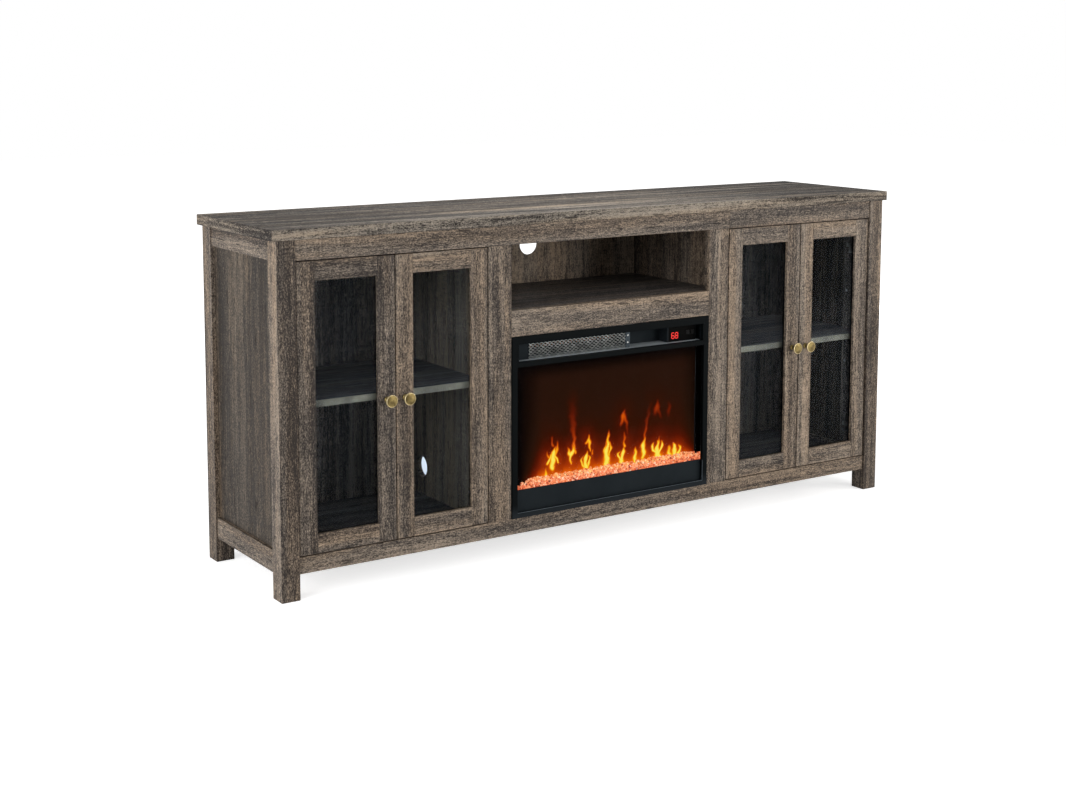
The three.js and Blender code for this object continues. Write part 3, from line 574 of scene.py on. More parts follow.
@dataclass(frozen=True)
class PaintFinish:
    """A paint, powder coat or moulded plastic with a fine texture."""

    name: str
    colour: Colour
    dusty: Colour
    roughness: float
    specular: float
    # Below this height the paint turns towards a lighter colour: painted light from the floor below, and some
    # dust
    floor_light_and_dust_line: float = 0.0
    floor_light_and_dust: Colour = display(31, 35, 38)
    speckle: float = 1400.0
    bump_depth: float = 0.05 * MM

    def material(self) -> bpy.types.Material:
        """Make the paint, lighter below its line: painted light from the floor below, and some dust."""
        material, tree = new_material(self.name)
        place = tree.object_place()
        cloud = tree.noise(place, (14.0, 14.0, 14.0), 4.0, 0.6)
        fine = tree.noise(place, (self.speckle,) * 3, 2.0, 0.5)
        colour = tree.mix(tree.ranged(cloud, 0.3, 0.7), self.colour, self.dusty)
        # Lighter towards the bottom: painted light bounced up from the floor, and some dust
        if self.floor_light_and_dust_line > 0.0:
            height = tree.add("ShaderNodeSeparateXYZ", {0: place}).outputs[2]
            dusty = tree.ranged(height, self.floor_light_and_dust_line, self.floor_light_and_dust_line * 0.72)
            colour = tree.mix(dusty, colour, self.floor_light_and_dust)
        tree.surface(tree.principled({
            "Base Color": colour,
            "Roughness": tree.plus(self.roughness, tree.swing(cloud, 0.15)),
            "Specular IOR Level": self.specular,
            "Normal": tree.bump(fine, self.bump_depth, 0.6),
        }))
        return material


@dataclass(frozen=True)
class DottedFinish:
    """A dark moulded face with fine round dimples in even rows."""

    name: str
    colour: Colour
    dimple: Colour
    pitch: float
    share: float
    roughness: float
    specular: float

    def material(self) -> bpy.types.Material:
        """Make the face: a dimple is where the place, wrapped to one cell, lies near the cell's middle."""
        material, tree = new_material(self.name)
        cells = tree.vector("DIVIDE", tree.object_place(), (self.pitch, 1.0, self.pitch))
        inside = tree.vector("SUBTRACT", tree.vector("FRACTION", cells, (0.0, 0.0, 0.0)), (0.5, 0.0, 0.5))
        inside = tree.vector("MULTIPLY", inside, (1.0, 0.0, 1.0))
        distance = tree.add("ShaderNodeVectorMath", {0: inside}, operation="LENGTH").outputs["Value"]
        dot = tree.ranged(distance, self.share * 0.75, self.share, 1.0, 0.0)
        tree.surface(tree.principled({
            "Base Color": tree.mix(dot, self.colour, self.dimple),
            "Roughness": self.roughness,
            "Specular IOR Level": self.specular,
            "Normal": tree.bump(dot, 0.1 * MM, 0.5),
        }))
        return material


@dataclass(frozen=True)
class GlassFinish:
    """Flat glass that lamps shine through."""

    name: str
    colour: Colour
    bend: float
    shade: Colour

    def material(self) -> bpy.types.Material:
        """Make the glass: a lamp's shadow ray passes straight through it."""
        material, tree = new_material(self.name)
        pane = tree.principled({
            "Base Color": self.colour,
            "Roughness": 0.0,
            "IOR": self.bend,
            "Transmission Weight": 1.0,
        })
        clear = tree.add("ShaderNodeBsdfTransparent", {"Color": self.shade}).outputs[0]
        shadow = tree.add("ShaderNodeLightPath").outputs["Is Shadow Ray"]
        tree.surface(tree.add("ShaderNodeMixShader", {0: shadow, 1: pane, 2: clear}).outputs[0])
        return material


@dataclass(frozen=True)
class GlowFinish:
    """A surface that shines by an attribute, through a row of colours."""

    name: str
    attribute: str
    stops: tuple[tuple[float, Colour], ...]
    strength: float
    body: Colour
    roughness: float
    specular: float
    light_attribute: str = ""
    light: Colour = (1.05, 1.0, 0.16, 1.0)

    def material(self) -> bpy.types.Material:
        """Make the glowing surface, tinted by the light that an attribute gives the share of."""
        material, tree = new_material(self.name)
        heat = tree.attribute(self.attribute).outputs["Fac"]
        flicker = tree.noise(tree.object_place(), (260.0, 260.0, 260.0), 2.0, 0.5)
        colour = tree.ramp(tree.plus(heat, tree.swing(flicker, 0.05)), self.stops)
        if self.light_attribute:
            share = tree.attribute(self.light_attribute).outputs["Fac"]
            colour = tree.mix(share, colour, self.light, "MULTIPLY")
        tree.surface(tree.principled({
            "Base Color": self.body,
            "Roughness": self.roughness,
            "Specular IOR Level": self.specular,
            "Emission Color": colour,
            "Emission Strength": self.strength,
        }))
        return material


FLAME_STOPS = (
    (0.0, display(2, 2, 2)),
    (0.05, display(18, 7, 3)),
    (0.1, display(36, 17, 7)),
    (0.15, display(50, 15, 2)),
    (0.2, display(80, 18, 2)),
    (0.28, display(124, 33, 4)),
    (0.38, display(180, 60, 5)),
    (0.5, display(224, 96, 6)),
    (0.68, display(250, 160, 16)),
    (0.86, display(255, 205, 40)),
    (1.0, display(255, 234, 92)),
)
CRYSTAL_STOPS = (
    (0.0, display(70, 28, 30)),
    (0.2, display(198, 78, 44)),
    (0.45, display(236, 130, 84)),
    (0.7, display(245, 158, 108)),
    (0.88, display(252, 198, 156)),
    (1.0, display(255, 230, 206)),
)
DIGIT_STOPS = ((0.0, display(255, 20, 16)), (1.0, display(255, 60, 50)))


class Finishes:
    """Every material of the stand, made once and fetched by name."""

    def __init__(self) -> None:
        """Make the materials."""
        oak = OakFinish()
        group = oak.pattern()
        oaks = (
            ("oak", "oak_board", None, 0.0, 1.3),
            ("oak_panel", "oak_panel", None, -0.2, 1.5, (0.51, 0.495, 0.465, 1.0)),
            # The slab's cooler, greyer cast is partly the weathered top's own grey, partly a painted sheen
            ("oak_top", "oak_slab", None, -0.11, 2.5, (0.96, 1.03, 1.09, 1.0), 0.02),
            ("oak_flat", "oak_flat", Grain.FLAT, 0.02, 1.4, (0.94, 1.04, 1.22, 1.0)),
            ("oak_upright", "oak_upright", Grain.SIDE_UPRIGHT, 0.0, 1.6),
            # The left partition's oak is made lighter and warmer: painted light falling on it through the
            # glass
            ("oak_partition", "oak_partition", Grain.SIDE_UPRIGHT, 0.3, 2.2, (1.12, 1.04, 0.9, 1.0)),
            # The back panel's oak is made lighter: painted light where the lamps reach into the bay and
            # cupboards
            ("oak_back", "oak_back", Grain.UPRIGHT, 0.22, 1.8),
        )
        self.made: dict[str, bpy.types.Material] = {
            finish: oak.material(name, group, *settings) for finish, name, *settings in oaks
        }
        glows = (
            GlowFinish("flame_screen", "warmth", FLAME_STOPS, 1.0, display(6, 3, 3), 0.9, 0.0),
            GlowFinish(
                "crystal", "warmth", CRYSTAL_STOPS, 0.9, display(120, 66, 46), 0.15, 0.3, "flame_light",
            ),
            GlowFinish("red_digit", "warmth", DIGIT_STOPS, 1.2, display(60, 8, 8), 0.5, 0.2),
        )
        metals = (
            # The aged brass takes a pale painted highlight colour on the knobs' rims
            MetalFinish(
                "aged_brass", display(112, 98, 62), display(72, 61, 37), 0.36, highlight_colour=display(214, 196, 152),
            ),
            MetalFinish("nickel", display(196, 196, 194), display(150, 150, 148), 0.3),
            MetalFinish("zinc_sheet", display(50, 56, 60), display(38, 43, 47), 0.5, 120.0),
            MetalFinish("mesh_steel", display(206, 207, 204), display(150, 152, 149), 0.42),
            MetalFinish("foil", display(222, 222, 220), display(170, 170, 170), 0.16),
            MetalFinish("copper_coil", display(190, 120, 84), display(140, 84, 60), 0.35),
        )
        paints = (
            # The trim's paint turns lighter near its foot: painted light from the floor, and some dust
            PaintFinish("black_steel", display(7, 10, 11), display(9, 12, 13), 0.5, 0.02, 0.13),
            # The fascia's paint is a lighter copy of the black trim's: painted light from the floor below,
            # and some dust
            PaintFinish("fascia_steel_floor_lit", display(23, 28, 31), display(27, 32, 35), 0.5, 0.03),
            PaintFinish("rear_steel", display(34, 38, 41), display(42, 46, 49), 0.5, 0.3),
            # Pale strips on the trim's edges: painted highlights
            PaintFinish("steel_edge_highlight", display(66, 74, 80), display(76, 84, 90), 0.45, 0.2),
            PaintFinish("vent_paint", display(27, 32, 35), display(31, 36, 39), 0.6, 0.03),
            PaintFinish("black_plastic", display(9, 9, 9), display(13, 12, 12), 0.4, 0.05),
            PaintFinish("soot_black", display(3, 3, 3), display(6, 5, 5), 0.8, 0.0),
            # A pale grey for the vent's ledge, far paler than bare zinc sheet: painted sheen
            PaintFinish("sill_painted_sheen", display(156, 164, 169), display(162, 170, 174), 0.55, 0.2),
            # The shelves' pale edge bands: partly the bands' own colour, partly painted light where the lamps
            # catch the shelf edges
            PaintFinish("edge_band_and_highlight", display(160, 145, 116), display(112, 102, 84), 0.6, 0.1),
            PaintFinish("board_green", display(24, 62, 44), display(30, 70, 50), 0.4, 0.4),
            PaintFinish("clear_rubber", display(178, 176, 168), display(190, 188, 180), 0.4, 0.4),
            PaintFinish("white_plastic", display(214, 212, 206), display(222, 220, 214), 0.4, 0.4),
        )
        glasses = (
            GlassFinish("clear_glass", (0.6, 0.69, 0.81, 1.0), 1.1, (0.72, 0.75, 0.78, 1.0)),
            GlassFinish("smoked_glass", (0.94, 0.93, 0.92, 1.0), 1.03, (0.9, 0.9, 0.9, 1.0)),
        )
        face = DottedFinish("control_face", display(4, 4, 4), display(24, 23, 22), 2.2 * MM, 0.3, 0.5, 0.01)
        for finish in (*glows, *metals, *paints, *glasses, face):
            self.made[finish.name] = finish.material()

    def __getitem__(self, name: str) -> bpy.types.Material:
        """The material with that name."""
        return self.made[name]


def mesh_points(mesh: bpy.types.Mesh) -> np.ndarray:
    """The places of a mesh's points."""
    points = np.zeros(len(mesh.vertices) * 3)
    mesh.vertices.foreach_get("co", points)
    return points.reshape(-1, 3)


def write_values(mesh: bpy.types.Mesh, name: str, domain: str, values: np.ndarray) -> None:
    """Add an attribute of one number, or of three, for each point, face or corner."""
    kind, key = ("FLOAT_VECTOR", "vector") if values.ndim == 2 else ("FLOAT", "value")
    mesh.attributes.new(name, kind, domain).data.foreach_set(key, values.ravel())


@dataclass
class Maker:
    """Puts finished surfaces into the scene as pieces, and keeps count of them.

    A board's face looks along an axis where that part of its normal is more than facing. Every board's oak
    is shifted by three numbers inside cut_range and its tone by one inside tone_range, all drawn at random,
    and the oak on its ends by end_shift too.
    """

    finishes: Finishes
    random: np.random.Generator = field(default_factory=lambda: np.random.default_rng(SEED))
    count: int = 0
    facing: float = 0.7
    cut_range: tuple[float, float] = (2.0, 9.0)
    tone_range: tuple[float, float] = (-0.03, 0.03)
    end_shift: float = 1.3
    normal_weight: int = 90

    def piece(
        self,
        name: str,
        shell: Shell,
        finish: str,
        slot: str,
        body: str = "case",
        replaces: Sequence[str] = (),
        smooth: bool = True,
        merge: bool = True,
    ) -> bpy.types.Object:
        """Make one piece of the object.

        Args:
            name: the piece's name.
            shell: its surface.
            finish: the name of its material.
            slot: the record's slot; not used.
            body: the body that it rides on.
            replaces: the construction nodes that it stands for.
            smooth: whether its faces are shaded as one smooth surface with weighted normals.
            merge: whether points in one place become one and the faces are turned outwards.

        Returns:
            The object.
        """
        mesh = bpy.data.meshes.new(name)
        mesh.from_pydata(shell.points.tolist(), [], shell.faces)
        if merge:
            self.close(mesh)
        mesh.materials.append(self.finishes[finish])
        mesh.polygons.foreach_set("use_smooth", np.full(len(mesh.polygons), smooth))
        piece = bpy.data.objects.new(name, mesh)
        bpy.context.scene.collection.objects.link(piece)
        if smooth:
            weighted = piece.modifiers.new("weighted_normals", "WEIGHTED_NORMAL")
            weighted.weight = self.normal_weight
        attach(piece, body)
        if replaces:
            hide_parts(*replaces)
        self.count += 1
        LOG.info("%s: %d faces on %s", name, len(mesh.polygons), body)
        return piece

    @staticmethod
    def close(mesh: bpy.types.Mesh) -> None:
        """Merge doubled points, drop collapsed faces and turn every face outwards."""
        work = bmesh.new()
        work.from_mesh(mesh)
        bmesh.ops.remove_doubles(work, verts=work.verts, dist=MERGED_WITHIN)
        bmesh.ops.dissolve_degenerate(work, edges=work.edges, dist=COLLAPSED_UNDER)
        bmesh.ops.recalc_face_normals(work, faces=work.faces)
        work.to_mesh(mesh)
        work.free()

    def board(
        self,
        name: str,
        shell: Shell,
        grain: Grain,
        slot: str = "oak_frame",
        body: str = "case",
        replaces: Sequence[str] = (),
        finish: str = "oak",
        shade: float = 0.0,
        painted_front_shade: float = 0.0,
    ) -> bpy.types.Object:
        """Make one oak board, which carries its place along, across and through the grain.

        The place is the point's own, taken in the order that the grain gives, plus a shift drawn for the
        board, so that no two boards are cut from the same stretch of oak. On the board's ends the first two
        numbers change places, because the ends are wrapped in oak that runs along them.

        Args:
            name: the board's name.
            shell: its surface.
            grain: how it lies.
            slot: the record's slot.
            body: the body that it rides on.
            replaces: the construction nodes that it stands for.
            finish: the name of its oak.
            shade: how much lighter its oak is than the others.
            painted_front_shade: painted light and shade on the face at its front: how much lighter it is than
                the others.

        Returns:
            The object.
        """
        piece = self.piece(name, shell, finish, slot, body, replaces)
        mesh = piece.data
        corner_points = np.zeros(len(mesh.loops), int)
        mesh.loops.foreach_get("vertex_index", corner_points)
        corner_counts = np.zeros(len(mesh.polygons), int)
        mesh.polygons.foreach_get("loop_total", corner_counts)
        normals = np.zeros(len(mesh.polygons) * 3)
        mesh.polygons.foreach_get("normal", normals)
        normals = np.repeat(normals.reshape(-1, 3), corner_counts, axis=0)
        at_end = np.abs(normals[:, grain.value[0]]) > self.facing
        at_front = normals[:, 1] < -self.facing
        place = mesh_points(mesh)[corner_points][:, list(grain.value)]
        place[at_end] = place[at_end][:, [1, 0, 2]] + self.end_shift
        write_values(mesh, "grain", "CORNER", place + self.random.uniform(*self.cut_range, 3))
        # The front faces' tone carries painted light and shade
        tone = self.random.uniform(*self.tone_range) + shade + painted_front_shade * at_front
        write_values(mesh, "tone", "CORNER", tone)
        return piece

    def block(
        self, name: str, box: Box, grain: Grain, radius: float, finish: str, slot: str, steps: int = 1,
    ) -> None:
        """Make one eased block on the case."""
        self.piece(name, eased_block(box, grain, radius, steps), finish, slot)

    def heads(
        self,
        name: str,
        shells: Iterable[Shell],
        finish: str = "nickel",
        slot: str = "nickel",
        body: str = "case",
    ) -> None:
        """Make one piece of several equal heads."""
        self.piece(name, Shell.joined(shells), finish, slot, body)

    @staticmethod
    def point_values(
        piece: bpy.types.Object, name: str, rule: Callable[[np.ndarray], np.ndarray],
    ) -> np.ndarray:
        """Write an attribute on a piece's points by a rule of their places."""
        values = rule(mesh_points(piece.data)).astype(np.float32)
        write_values(piece.data, name, "POINT", values)
        return values

    def node(self, node: str, finish: str) -> None:
        """Give a construction node that stays in sight its material."""
        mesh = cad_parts[node].data
        mesh.materials.clear()
        mesh.materials.append(self.finishes[finish])
        LOG.info("%s: dressed in %s", node, finish)

    def node_copy(
        self, node: str, name: str, shift: Sequence[float], finish: str, slot: str, body: str,
    ) -> bpy.types.Object:
        """Make a second one of a construction node at another place."""
        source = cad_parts[node].data
        faces = [list(polygon.vertices) for polygon in source.polygons]
        shell = Shell(mesh_points(source) + np.array(shift), faces)
        return self.piece(name, shell, finish, slot, body, smooth=False)


def bored(shell: Shell, cutters: Sequence[Shell]) -> Shell:
    """Cut holes in a surface.

    Args:
        shell: the solid to cut.
        cutters: the solids to take away.

    Returns:
        What is left, as a surface.
    """
    made = []
    for part in (shell, Shell.joined(cutters)):
        mesh = bpy.data.meshes.new("boring")
        mesh.from_pydata(part.points.tolist(), [], part.faces)
        Maker.close(mesh)
        item = bpy.data.objects.new("boring", mesh)
        bpy.context.scene.collection.objects.link(item)
        made.append(item)
    cut = made[0].modifiers.new("bore", "BOOLEAN")
    cut.operation = "DIFFERENCE"
    cut.object = made[1]
    bpy.context.view_layer.update()
    result = made[0].evaluated_get(bpy.context.evaluated_depsgraph_get()).to_mesh()
    points = np.array([vertex.co for vertex in result.vertices])
    faces = [list(polygon.vertices) for polygon in result.polygons]
    for item in made:
        bpy.data.objects.remove(item)
    return Shell(points, faces)


# Each board's tone, lighter or darker than the rest: partly its own tone, and partly painted light and shade
# where more or less light falls on that board
SHADES = {
    "front_left_leg": 0.13,
    "back_left_leg": -0.22,
    "front_right_leg": -0.04,
    "right_stile": 0.07,
    "mid_rail": 0.15,
    "front_bottom_rail": 0.04,
    "front_top_rail_long": -0.05,
    "front_top_rail_short": -0.17,
    "left_side_panel": 0.02,
    "right_side_panel": 0.12,
    "left_side_top_rail": -0.05,
    "left_side_bottom_rail": -0.06,
    "left_outer_door": -0.12,
    "left_inner_door": 0.12,
    "right_outer_door": 0.15,
}


@dataclass
class Carcass:
    """The case: legs, top, rails, panels and inner boards, with the screws and pins that hold them."""

    maker: Maker
    edge: float = 1.3 * MM
    inner_edge: float = 0.8 * MM
    seam_gap: float = 0.2 * MM
    pin_drop: float = 2.7 * MM
    pin_shares: tuple[float, float] = (0.16, 0.84)
    nail_pitch: float = 0.11
    nail_inset: float = 8 * MM
    nail_columns: tuple[float, float] = (-0.3455, 0.3455)
    opening_half: float = 0.338
    opening_top: float = 0.3
    band_depth: float = 0.5 * MM
    band_gap: float = 0.02 * MM
    band_edge: float = 0.1 * MM
    cap_inset: float = 12 * MM
    cap_shares: tuple[float, ...] = (0.08, 0.36, 0.64, 0.92)

    def build(self) -> None:
        """Make every piece of the case."""
        self.boards()
        self.top_rail()
        self.inner_boards()
        self.shelf_pins()
        self.back_nails()
        self.corner_screws()

    def boards(self) -> None:
        """The outer boards, each in the place of its construction node."""
        # The front-left leg's front is painted darker than its sides: painted shade, as less light falls on
        # the front
        self.put("front_left_leg", Grain.UPRIGHT, self.edge, painted_front_shade=-0.3)
        for name in ("left_stile", "right_stile", "front_right_leg", "back_left_leg", "back_right_leg"):
            self.put(name, Grain.UPRIGHT, self.edge)
        for side, _ in SIDES:
            self.put(f"{side}_side_panel", Grain.SIDE_UPRIGHT, self.inner_edge, "oak_panel")
            self.put(f"{side}_side_bottom_rail", Grain.SIDE_LEVEL, self.inner_edge)
            self.put(f"{side}_side_top_rail", Grain.SIDE_LEVEL, self.inner_edge)
        self.put("front_bottom_rail", Grain.LEVEL, self.inner_edge)
        self.put("mid_rail", Grain.LEVEL, self.inner_edge)
        # The slab's front face is painted lighter: painted light
        self.put("top_slab", Grain.FLAT, self.edge, "oak_top", "oak_top", painted_front_shade=0.09)

    def put(
        self,
        node: str,
        grain: Grain,
        edge: float,
        finish: str = "oak",
        slot: str = "oak_frame",
        painted_front_shade: float = 0.0,
    ) -> None:
        """One eased board in the place of a node."""
        shell = eased_block(Box.of(node), grain, edge)
        shade = SHADES.get(node, 0.0)
        self.maker.board(f"{node}_board", shell, grain, slot, "case", [node], finish, shade, painted_front_shade)

    def top_rail(self) -> None:
        """The front top rail, which is butted from two lengths over the right stile's outer edge."""
        whole = Box.of("front_top_rail")
        seam = Box.of("right_stile").high[0]
        lengths = {
            "front_top_rail_long": (whole.low[0], seam - self.seam_gap),
            "front_top_rail_short": (seam + self.seam_gap, whole.high[0]),
        }
        for name, span in lengths.items():
            box = Box.spans(span, (whole.low[1], whole.high[1]), (whole.low[2], whole.high[2]))
            shell = eased_block(box, Grain.LEVEL, self.inner_edge)
            self.maker.board(
                name, shell, Grain.LEVEL, "oak_frame", "case", ["front_top_rail"], shade=SHADES[name],
            )

    def inner_boards(self) -> None:
        """The boards inside the case, which keep their construction meshes, and the shelves' edge bands."""
        oaks = {
            "oak_flat": ("floor_board", "middle_deck", "left_shelf", "right_shelf"),
            "oak_upright": ("right_partition", "left_hinge_cleat", "right_hinge_cleat"),
            "oak_partition": ("left_partition",),
            "oak_back": ("back_panel",),
        }
        for finish, nodes in oaks.items():
            for node in nodes:
                self.maker.node(node, finish)
        # Pale bands on the shelves' fronts, partly their own colour and partly painted light on the lit edges
        edge = self.band_edge
        for node in ("left_shelf", "right_shelf"):
            low, high = Box.of(node).low, Box.of(node).high
            depth = (low[1] - self.band_depth, low[1] - self.band_gap)
            band = Box.spans((low[0], high[0]), depth, (low[2] + edge, high[2] - edge))
            self.maker.block(f"{node}_edge_band_and_highlight", band, Grain.LEVEL, edge, "edge_band_and_highlight", "oak_frame")

    def shelf_pins(self) -> None:
        """Four pegs under each loose shelf, two in the partition and two in the side panel."""
        for side, sign in SIDES:
            shelf = Box.of(f"{side}_shelf")
            partition, panel = Box.of(f"{side}_partition"), Box.of(f"{side}_side_panel")
            inner = max(abs(partition.low[0]), abs(partition.high[0]))
            outer = min(abs(panel.low[0]), abs(panel.high[0]))
            pegs = []
            for wall, inward in ((inner, 1), (outer, -1)):
                for share in self.pin_shares:
                    y = shelf.low[1] + shelf.size()[1] * share
                    place = (sign * wall, y, shelf.low[2] - self.pin_drop)
                    pegs.append(Head.SHELF_PIN.at(place, 0, inward * sign))
            self.maker.heads(f"{side}_shelf_pins", pegs, "aged_brass", "knob_brass")

    def back_nails(self) -> None:
        """Round-headed nails that hold the back panel, along its edges and beside the insert's opening."""
        panel = Box.of("back_panel")
        inset, pitch = self.nail_inset, self.nail_pitch
        left, bottom = panel.low[0] + inset, panel.low[2] + inset
        right, top = panel.high[0] - inset, panel.high[2] - inset
        places = []
        for x in np.arange(left, panel.high[0], pitch):
            for z in (bottom, top):
                if abs(x) >= self.opening_half or z >= self.opening_top:
                    places.append((x, z))
        for z in np.arange(bottom + pitch, top, pitch):
            places += [(x, z) for x in (left, *self.nail_columns, right)]
        heads = [Head.PANEL_NAIL.at((x, panel.high[1], z)) for x, z in places]
        self.maker.heads("back_panel_nails", heads)

    def corner_screws(self) -> None:
        """Domed cover caps on the insides of the cleats, over the screws into the legs."""
        caps = []
        for side, sign in SIDES:
            cleat = Box.of(f"{side}_hinge_cleat")
            face = cleat.high[0] if sign < 0 else cleat.low[0]
            for share in self.cap_shares:
                z = cleat.low[2] + cleat.size()[2] * share
                caps.append(Head.CLEAT_CAP.at((face, cleat.high[1] - self.cap_inset, z), 0, -sign))
        self.maker.heads("cleat_screw_heads", caps)


KNOB_PROFILE = (
    (0.0, 0.0), (0.48, 0.0), (0.50, 0.02), (0.50, 0.06), (0.46, 0.10), (0.37, 0.13), (0.32, 0.18),
    (0.30, 0.26), (0.29, 0.40), (0.31, 0.54), (0.37, 0.64), (0.52, 0.71), (0.76, 0.76), (0.93, 0.79),
    (0.985, 0.81), (1.0, 0.85), (1.0, 0.91), (0.985, 0.945), (0.95, 0.965), (0.905, 0.97), (0.875, 0.962),
    (0.85, 0.958), (0.80, 0.962), (0.62, 0.978), (0.40, 0.991), (0.18, 0.998), (0.0, 1.0),
)


@dataclass
class Door:
    """One glazed door: two stiles, two rails, a pane with its beads, a knob and its hinges' cups."""

    maker: Maker
    name: str
    hinge_side: int
    member: float = 43 * MM
    rebate: float = 5 * MM
    sight_depth: float = 9 * MM
    edge: float = 0.9 * MM
    bead: float = 4 * MM
    bead_clear: float = 0.15 * MM
    glass_clear: float = 0.1 * MM
    knob_segments: int = 48
    knob_normal_weight: int = 50
    # Where the knob's painted rim highlight starts, as a share of its radius, and how far it spreads to full
    highlight_from: float = 0.88
    highlight_over: float = 0.1
    bumper_from_end: float = 16 * MM
    cup_from_edge: float = 20.3 * MM
    cup_from_end: float = 75 * MM
    cup_radius: float = 17.5 * MM
    cup_depth: float = 12 * MM
    cup_clear: float = 0.2 * MM
    cup_wall: float = 0.7 * MM
    cup_rim: float = 2.3 * MM
    cup_segments: int = 40
    cup_screw_rise: float = 24 * MM
    flange: float = 0.3 * MM
    flange_clear: float = 0.02 * MM

    def __post_init__(self) -> None:
        """Take the door's place from its construction nodes."""
        self.body = f"{self.name}_door"
        self.shade = SHADES.get(self.body, 0.0)
        self.node = f"{self.name}_door_frame"
        self.box = Box.of(self.node)
        self.face = self.box.low[1]
        self.back = self.box.high[1]
        self.split = self.face + self.sight_depth
        self.rear_member = self.member - self.rebate
        hinge_x = self.box.low[0] if self.hinge_side < 0 else self.box.high[0]
        self.cup_x = hinge_x - self.hinge_side * self.cup_from_edge
        self.cup_heights = (self.box.low[2] + self.cup_from_end, self.box.high[2] - self.cup_from_end)

    def build(self) -> None:
        """Make every piece of the door."""
        self.stile("hinge_stile", self.hinge_side, True)
        self.stile("knob_stile", -self.hinge_side, False)
        self.rail("top_rail", 1)
        self.rail("bottom_rail", -1)
        self.maker.node(f"{self.name}_door_glass", "clear_glass")
        self.beads()
        self.knob()
        self.hinges()

    def board(self, label: str, shell: Shell, grain: Grain) -> None:
        """One board of the door's frame."""
        self.maker.board(
            f"{self.name}_{label}", shell, grain, body=self.body, replaces=[self.node], shade=self.shade,
        )

    def stile(self, label: str, side: int, cups: bool) -> None:
        """One upright: an L-shaped outline, with its rebate for the glass, carried up the door.

        The outline's points go round the L, two at each corner, and each end is eased by drawing the whole
        outline in.

        Args:
            label: the end of the piece's name.
            side: minus one for the stile on the left, one for the right.
            cups: whether the hinge cups' bores are cut in it.
        """
        outer = self.box.low[0] if side < 0 else self.box.high[0]
        ease = self.edge
        corners = [
            (0.0, self.face), (self.member, self.face), (self.member, self.split),
            (self.rear_member, self.split), (self.rear_member, self.back), (0.0, self.back),
        ]
        points = []
        for number, corner in enumerate(corners):
            for other in (corners[number - 1], corners[(number + 1) % len(corners)]):
                points.append([
                    here + math.copysign(ease, there - here) * (there != here)
                    for here, there in zip(corner, other)
                ])
        outline = np.array(points)
        centre = np.array([self.rear_member / 2, (self.face + self.back) / 2])
        low, high = self.box.low[2], self.box.high[2]
        pull = 1 - 2 * ease / np.array([self.member, self.back - self.face])
        drawn = centre + (outline - centre) * pull
        rings = []
        for flat, z in ((drawn, low), (outline, low + ease), (outline, high - ease), (drawn, high)):
            rings.append(np.stack([outer - side * flat[:, 0], flat[:, 1], np.full(len(flat), z)], axis=1))
        shell = Shell.lofted(np.array(rings))
        if cups:
            radius, past = self.cup_radius, ease * 3
            profile = [(0, -self.cup_depth), (radius, -self.cup_depth), (radius, past), (0, past)]
            shell = bored(shell, self.at_cups(profile))
        self.board(label, shell, Grain.UPRIGHT)

    def at_cups(self, profile: Sequence[Sequence[float]]) -> list[Shell]:
        """A turned surface at each hinge cup's place."""
        places = [(self.cup_x, self.back, z) for z in self.cup_heights]
        return [turned(profile, place, 1, self.cup_segments) for place in places]

    def rail(self, label: str, side: int) -> None:
        """One rail between the stiles: the lip in front and the longer part that holds the glass behind."""
        outer = self.box.high[2] if side > 0 else self.box.low[2]
        left, right = self.box.low[0], self.box.high[0]
        parts = []
        layers = ((self.member, (self.face, self.split)), (self.rear_member, (self.split, self.back)))
        for member, depth in layers:
            box = Box.spans((left + member, right - member), depth, sorted((outer, outer - side * member)))
            parts.append(eased_block(box, Grain.LEVEL, self.edge * 0.6, 2))
        self.board(label, Shell.joined(parts), Grain.LEVEL)

    def beads(self) -> None:
        """The slim black strip that holds the pane in its rebate, bevelled towards the opening."""
        front = Box.of(f"{self.name}_door_glass").high[1] + self.glass_clear
        bead = self.bead
        outline = np.array([(0.0, 0.0), (bead, 0.0), (bead * 0.4, bead), (0.0, bead)])
        low, high = self.box.low + self.rear_member, self.box.high - self.rear_member
        corners = np.array([(low[0], low[2]), (high[0], low[2]), (high[0], high[2]), (low[0], high[2])])
        inwards = np.array([(1, 1), (-1, 1), (-1, -1), (1, -1)])
        rings = []
        for corner, inward in zip(corners, inwards):
            places = corner + inward * (outline[:, 0:1] + self.bead_clear)
            rings.append(np.stack([places[:, 0], front + outline[:, 1], places[:, 1]], axis=1))
        shell = Shell.lofted(np.array(rings), ring_path=True)
        self.maker.piece(
            f"{self.name}_glass_bead", shell, "black_plastic", "black_plastic", self.body, smooth=False,
        )

    def knob(self) -> None:
        """The turned knob: a foot, a waisted stem and a domed disc with a raised rim.

        The profile gives shares of the knob's radius and of its reach. The knob's screw and two soft
        bumpers sit on the door's back.
        """
        node = f"{self.name}_door_knob"
        box = Box.of(node)
        centre = box.middle()
        reach, radius = box.size()[1], box.size()[0] / 2
        outline = [(share * radius, -height * reach) for share, height in KNOB_PROFILE]
        shell = turned(outline, (centre[0], box.high[1], centre[2]), 1, self.knob_segments)
        piece = self.maker.piece(f"{self.name}_knob", shell, "aged_brass", "knob_brass", self.body, [node])
        piece.modifiers["weighted_normals"].weight = self.knob_normal_weight
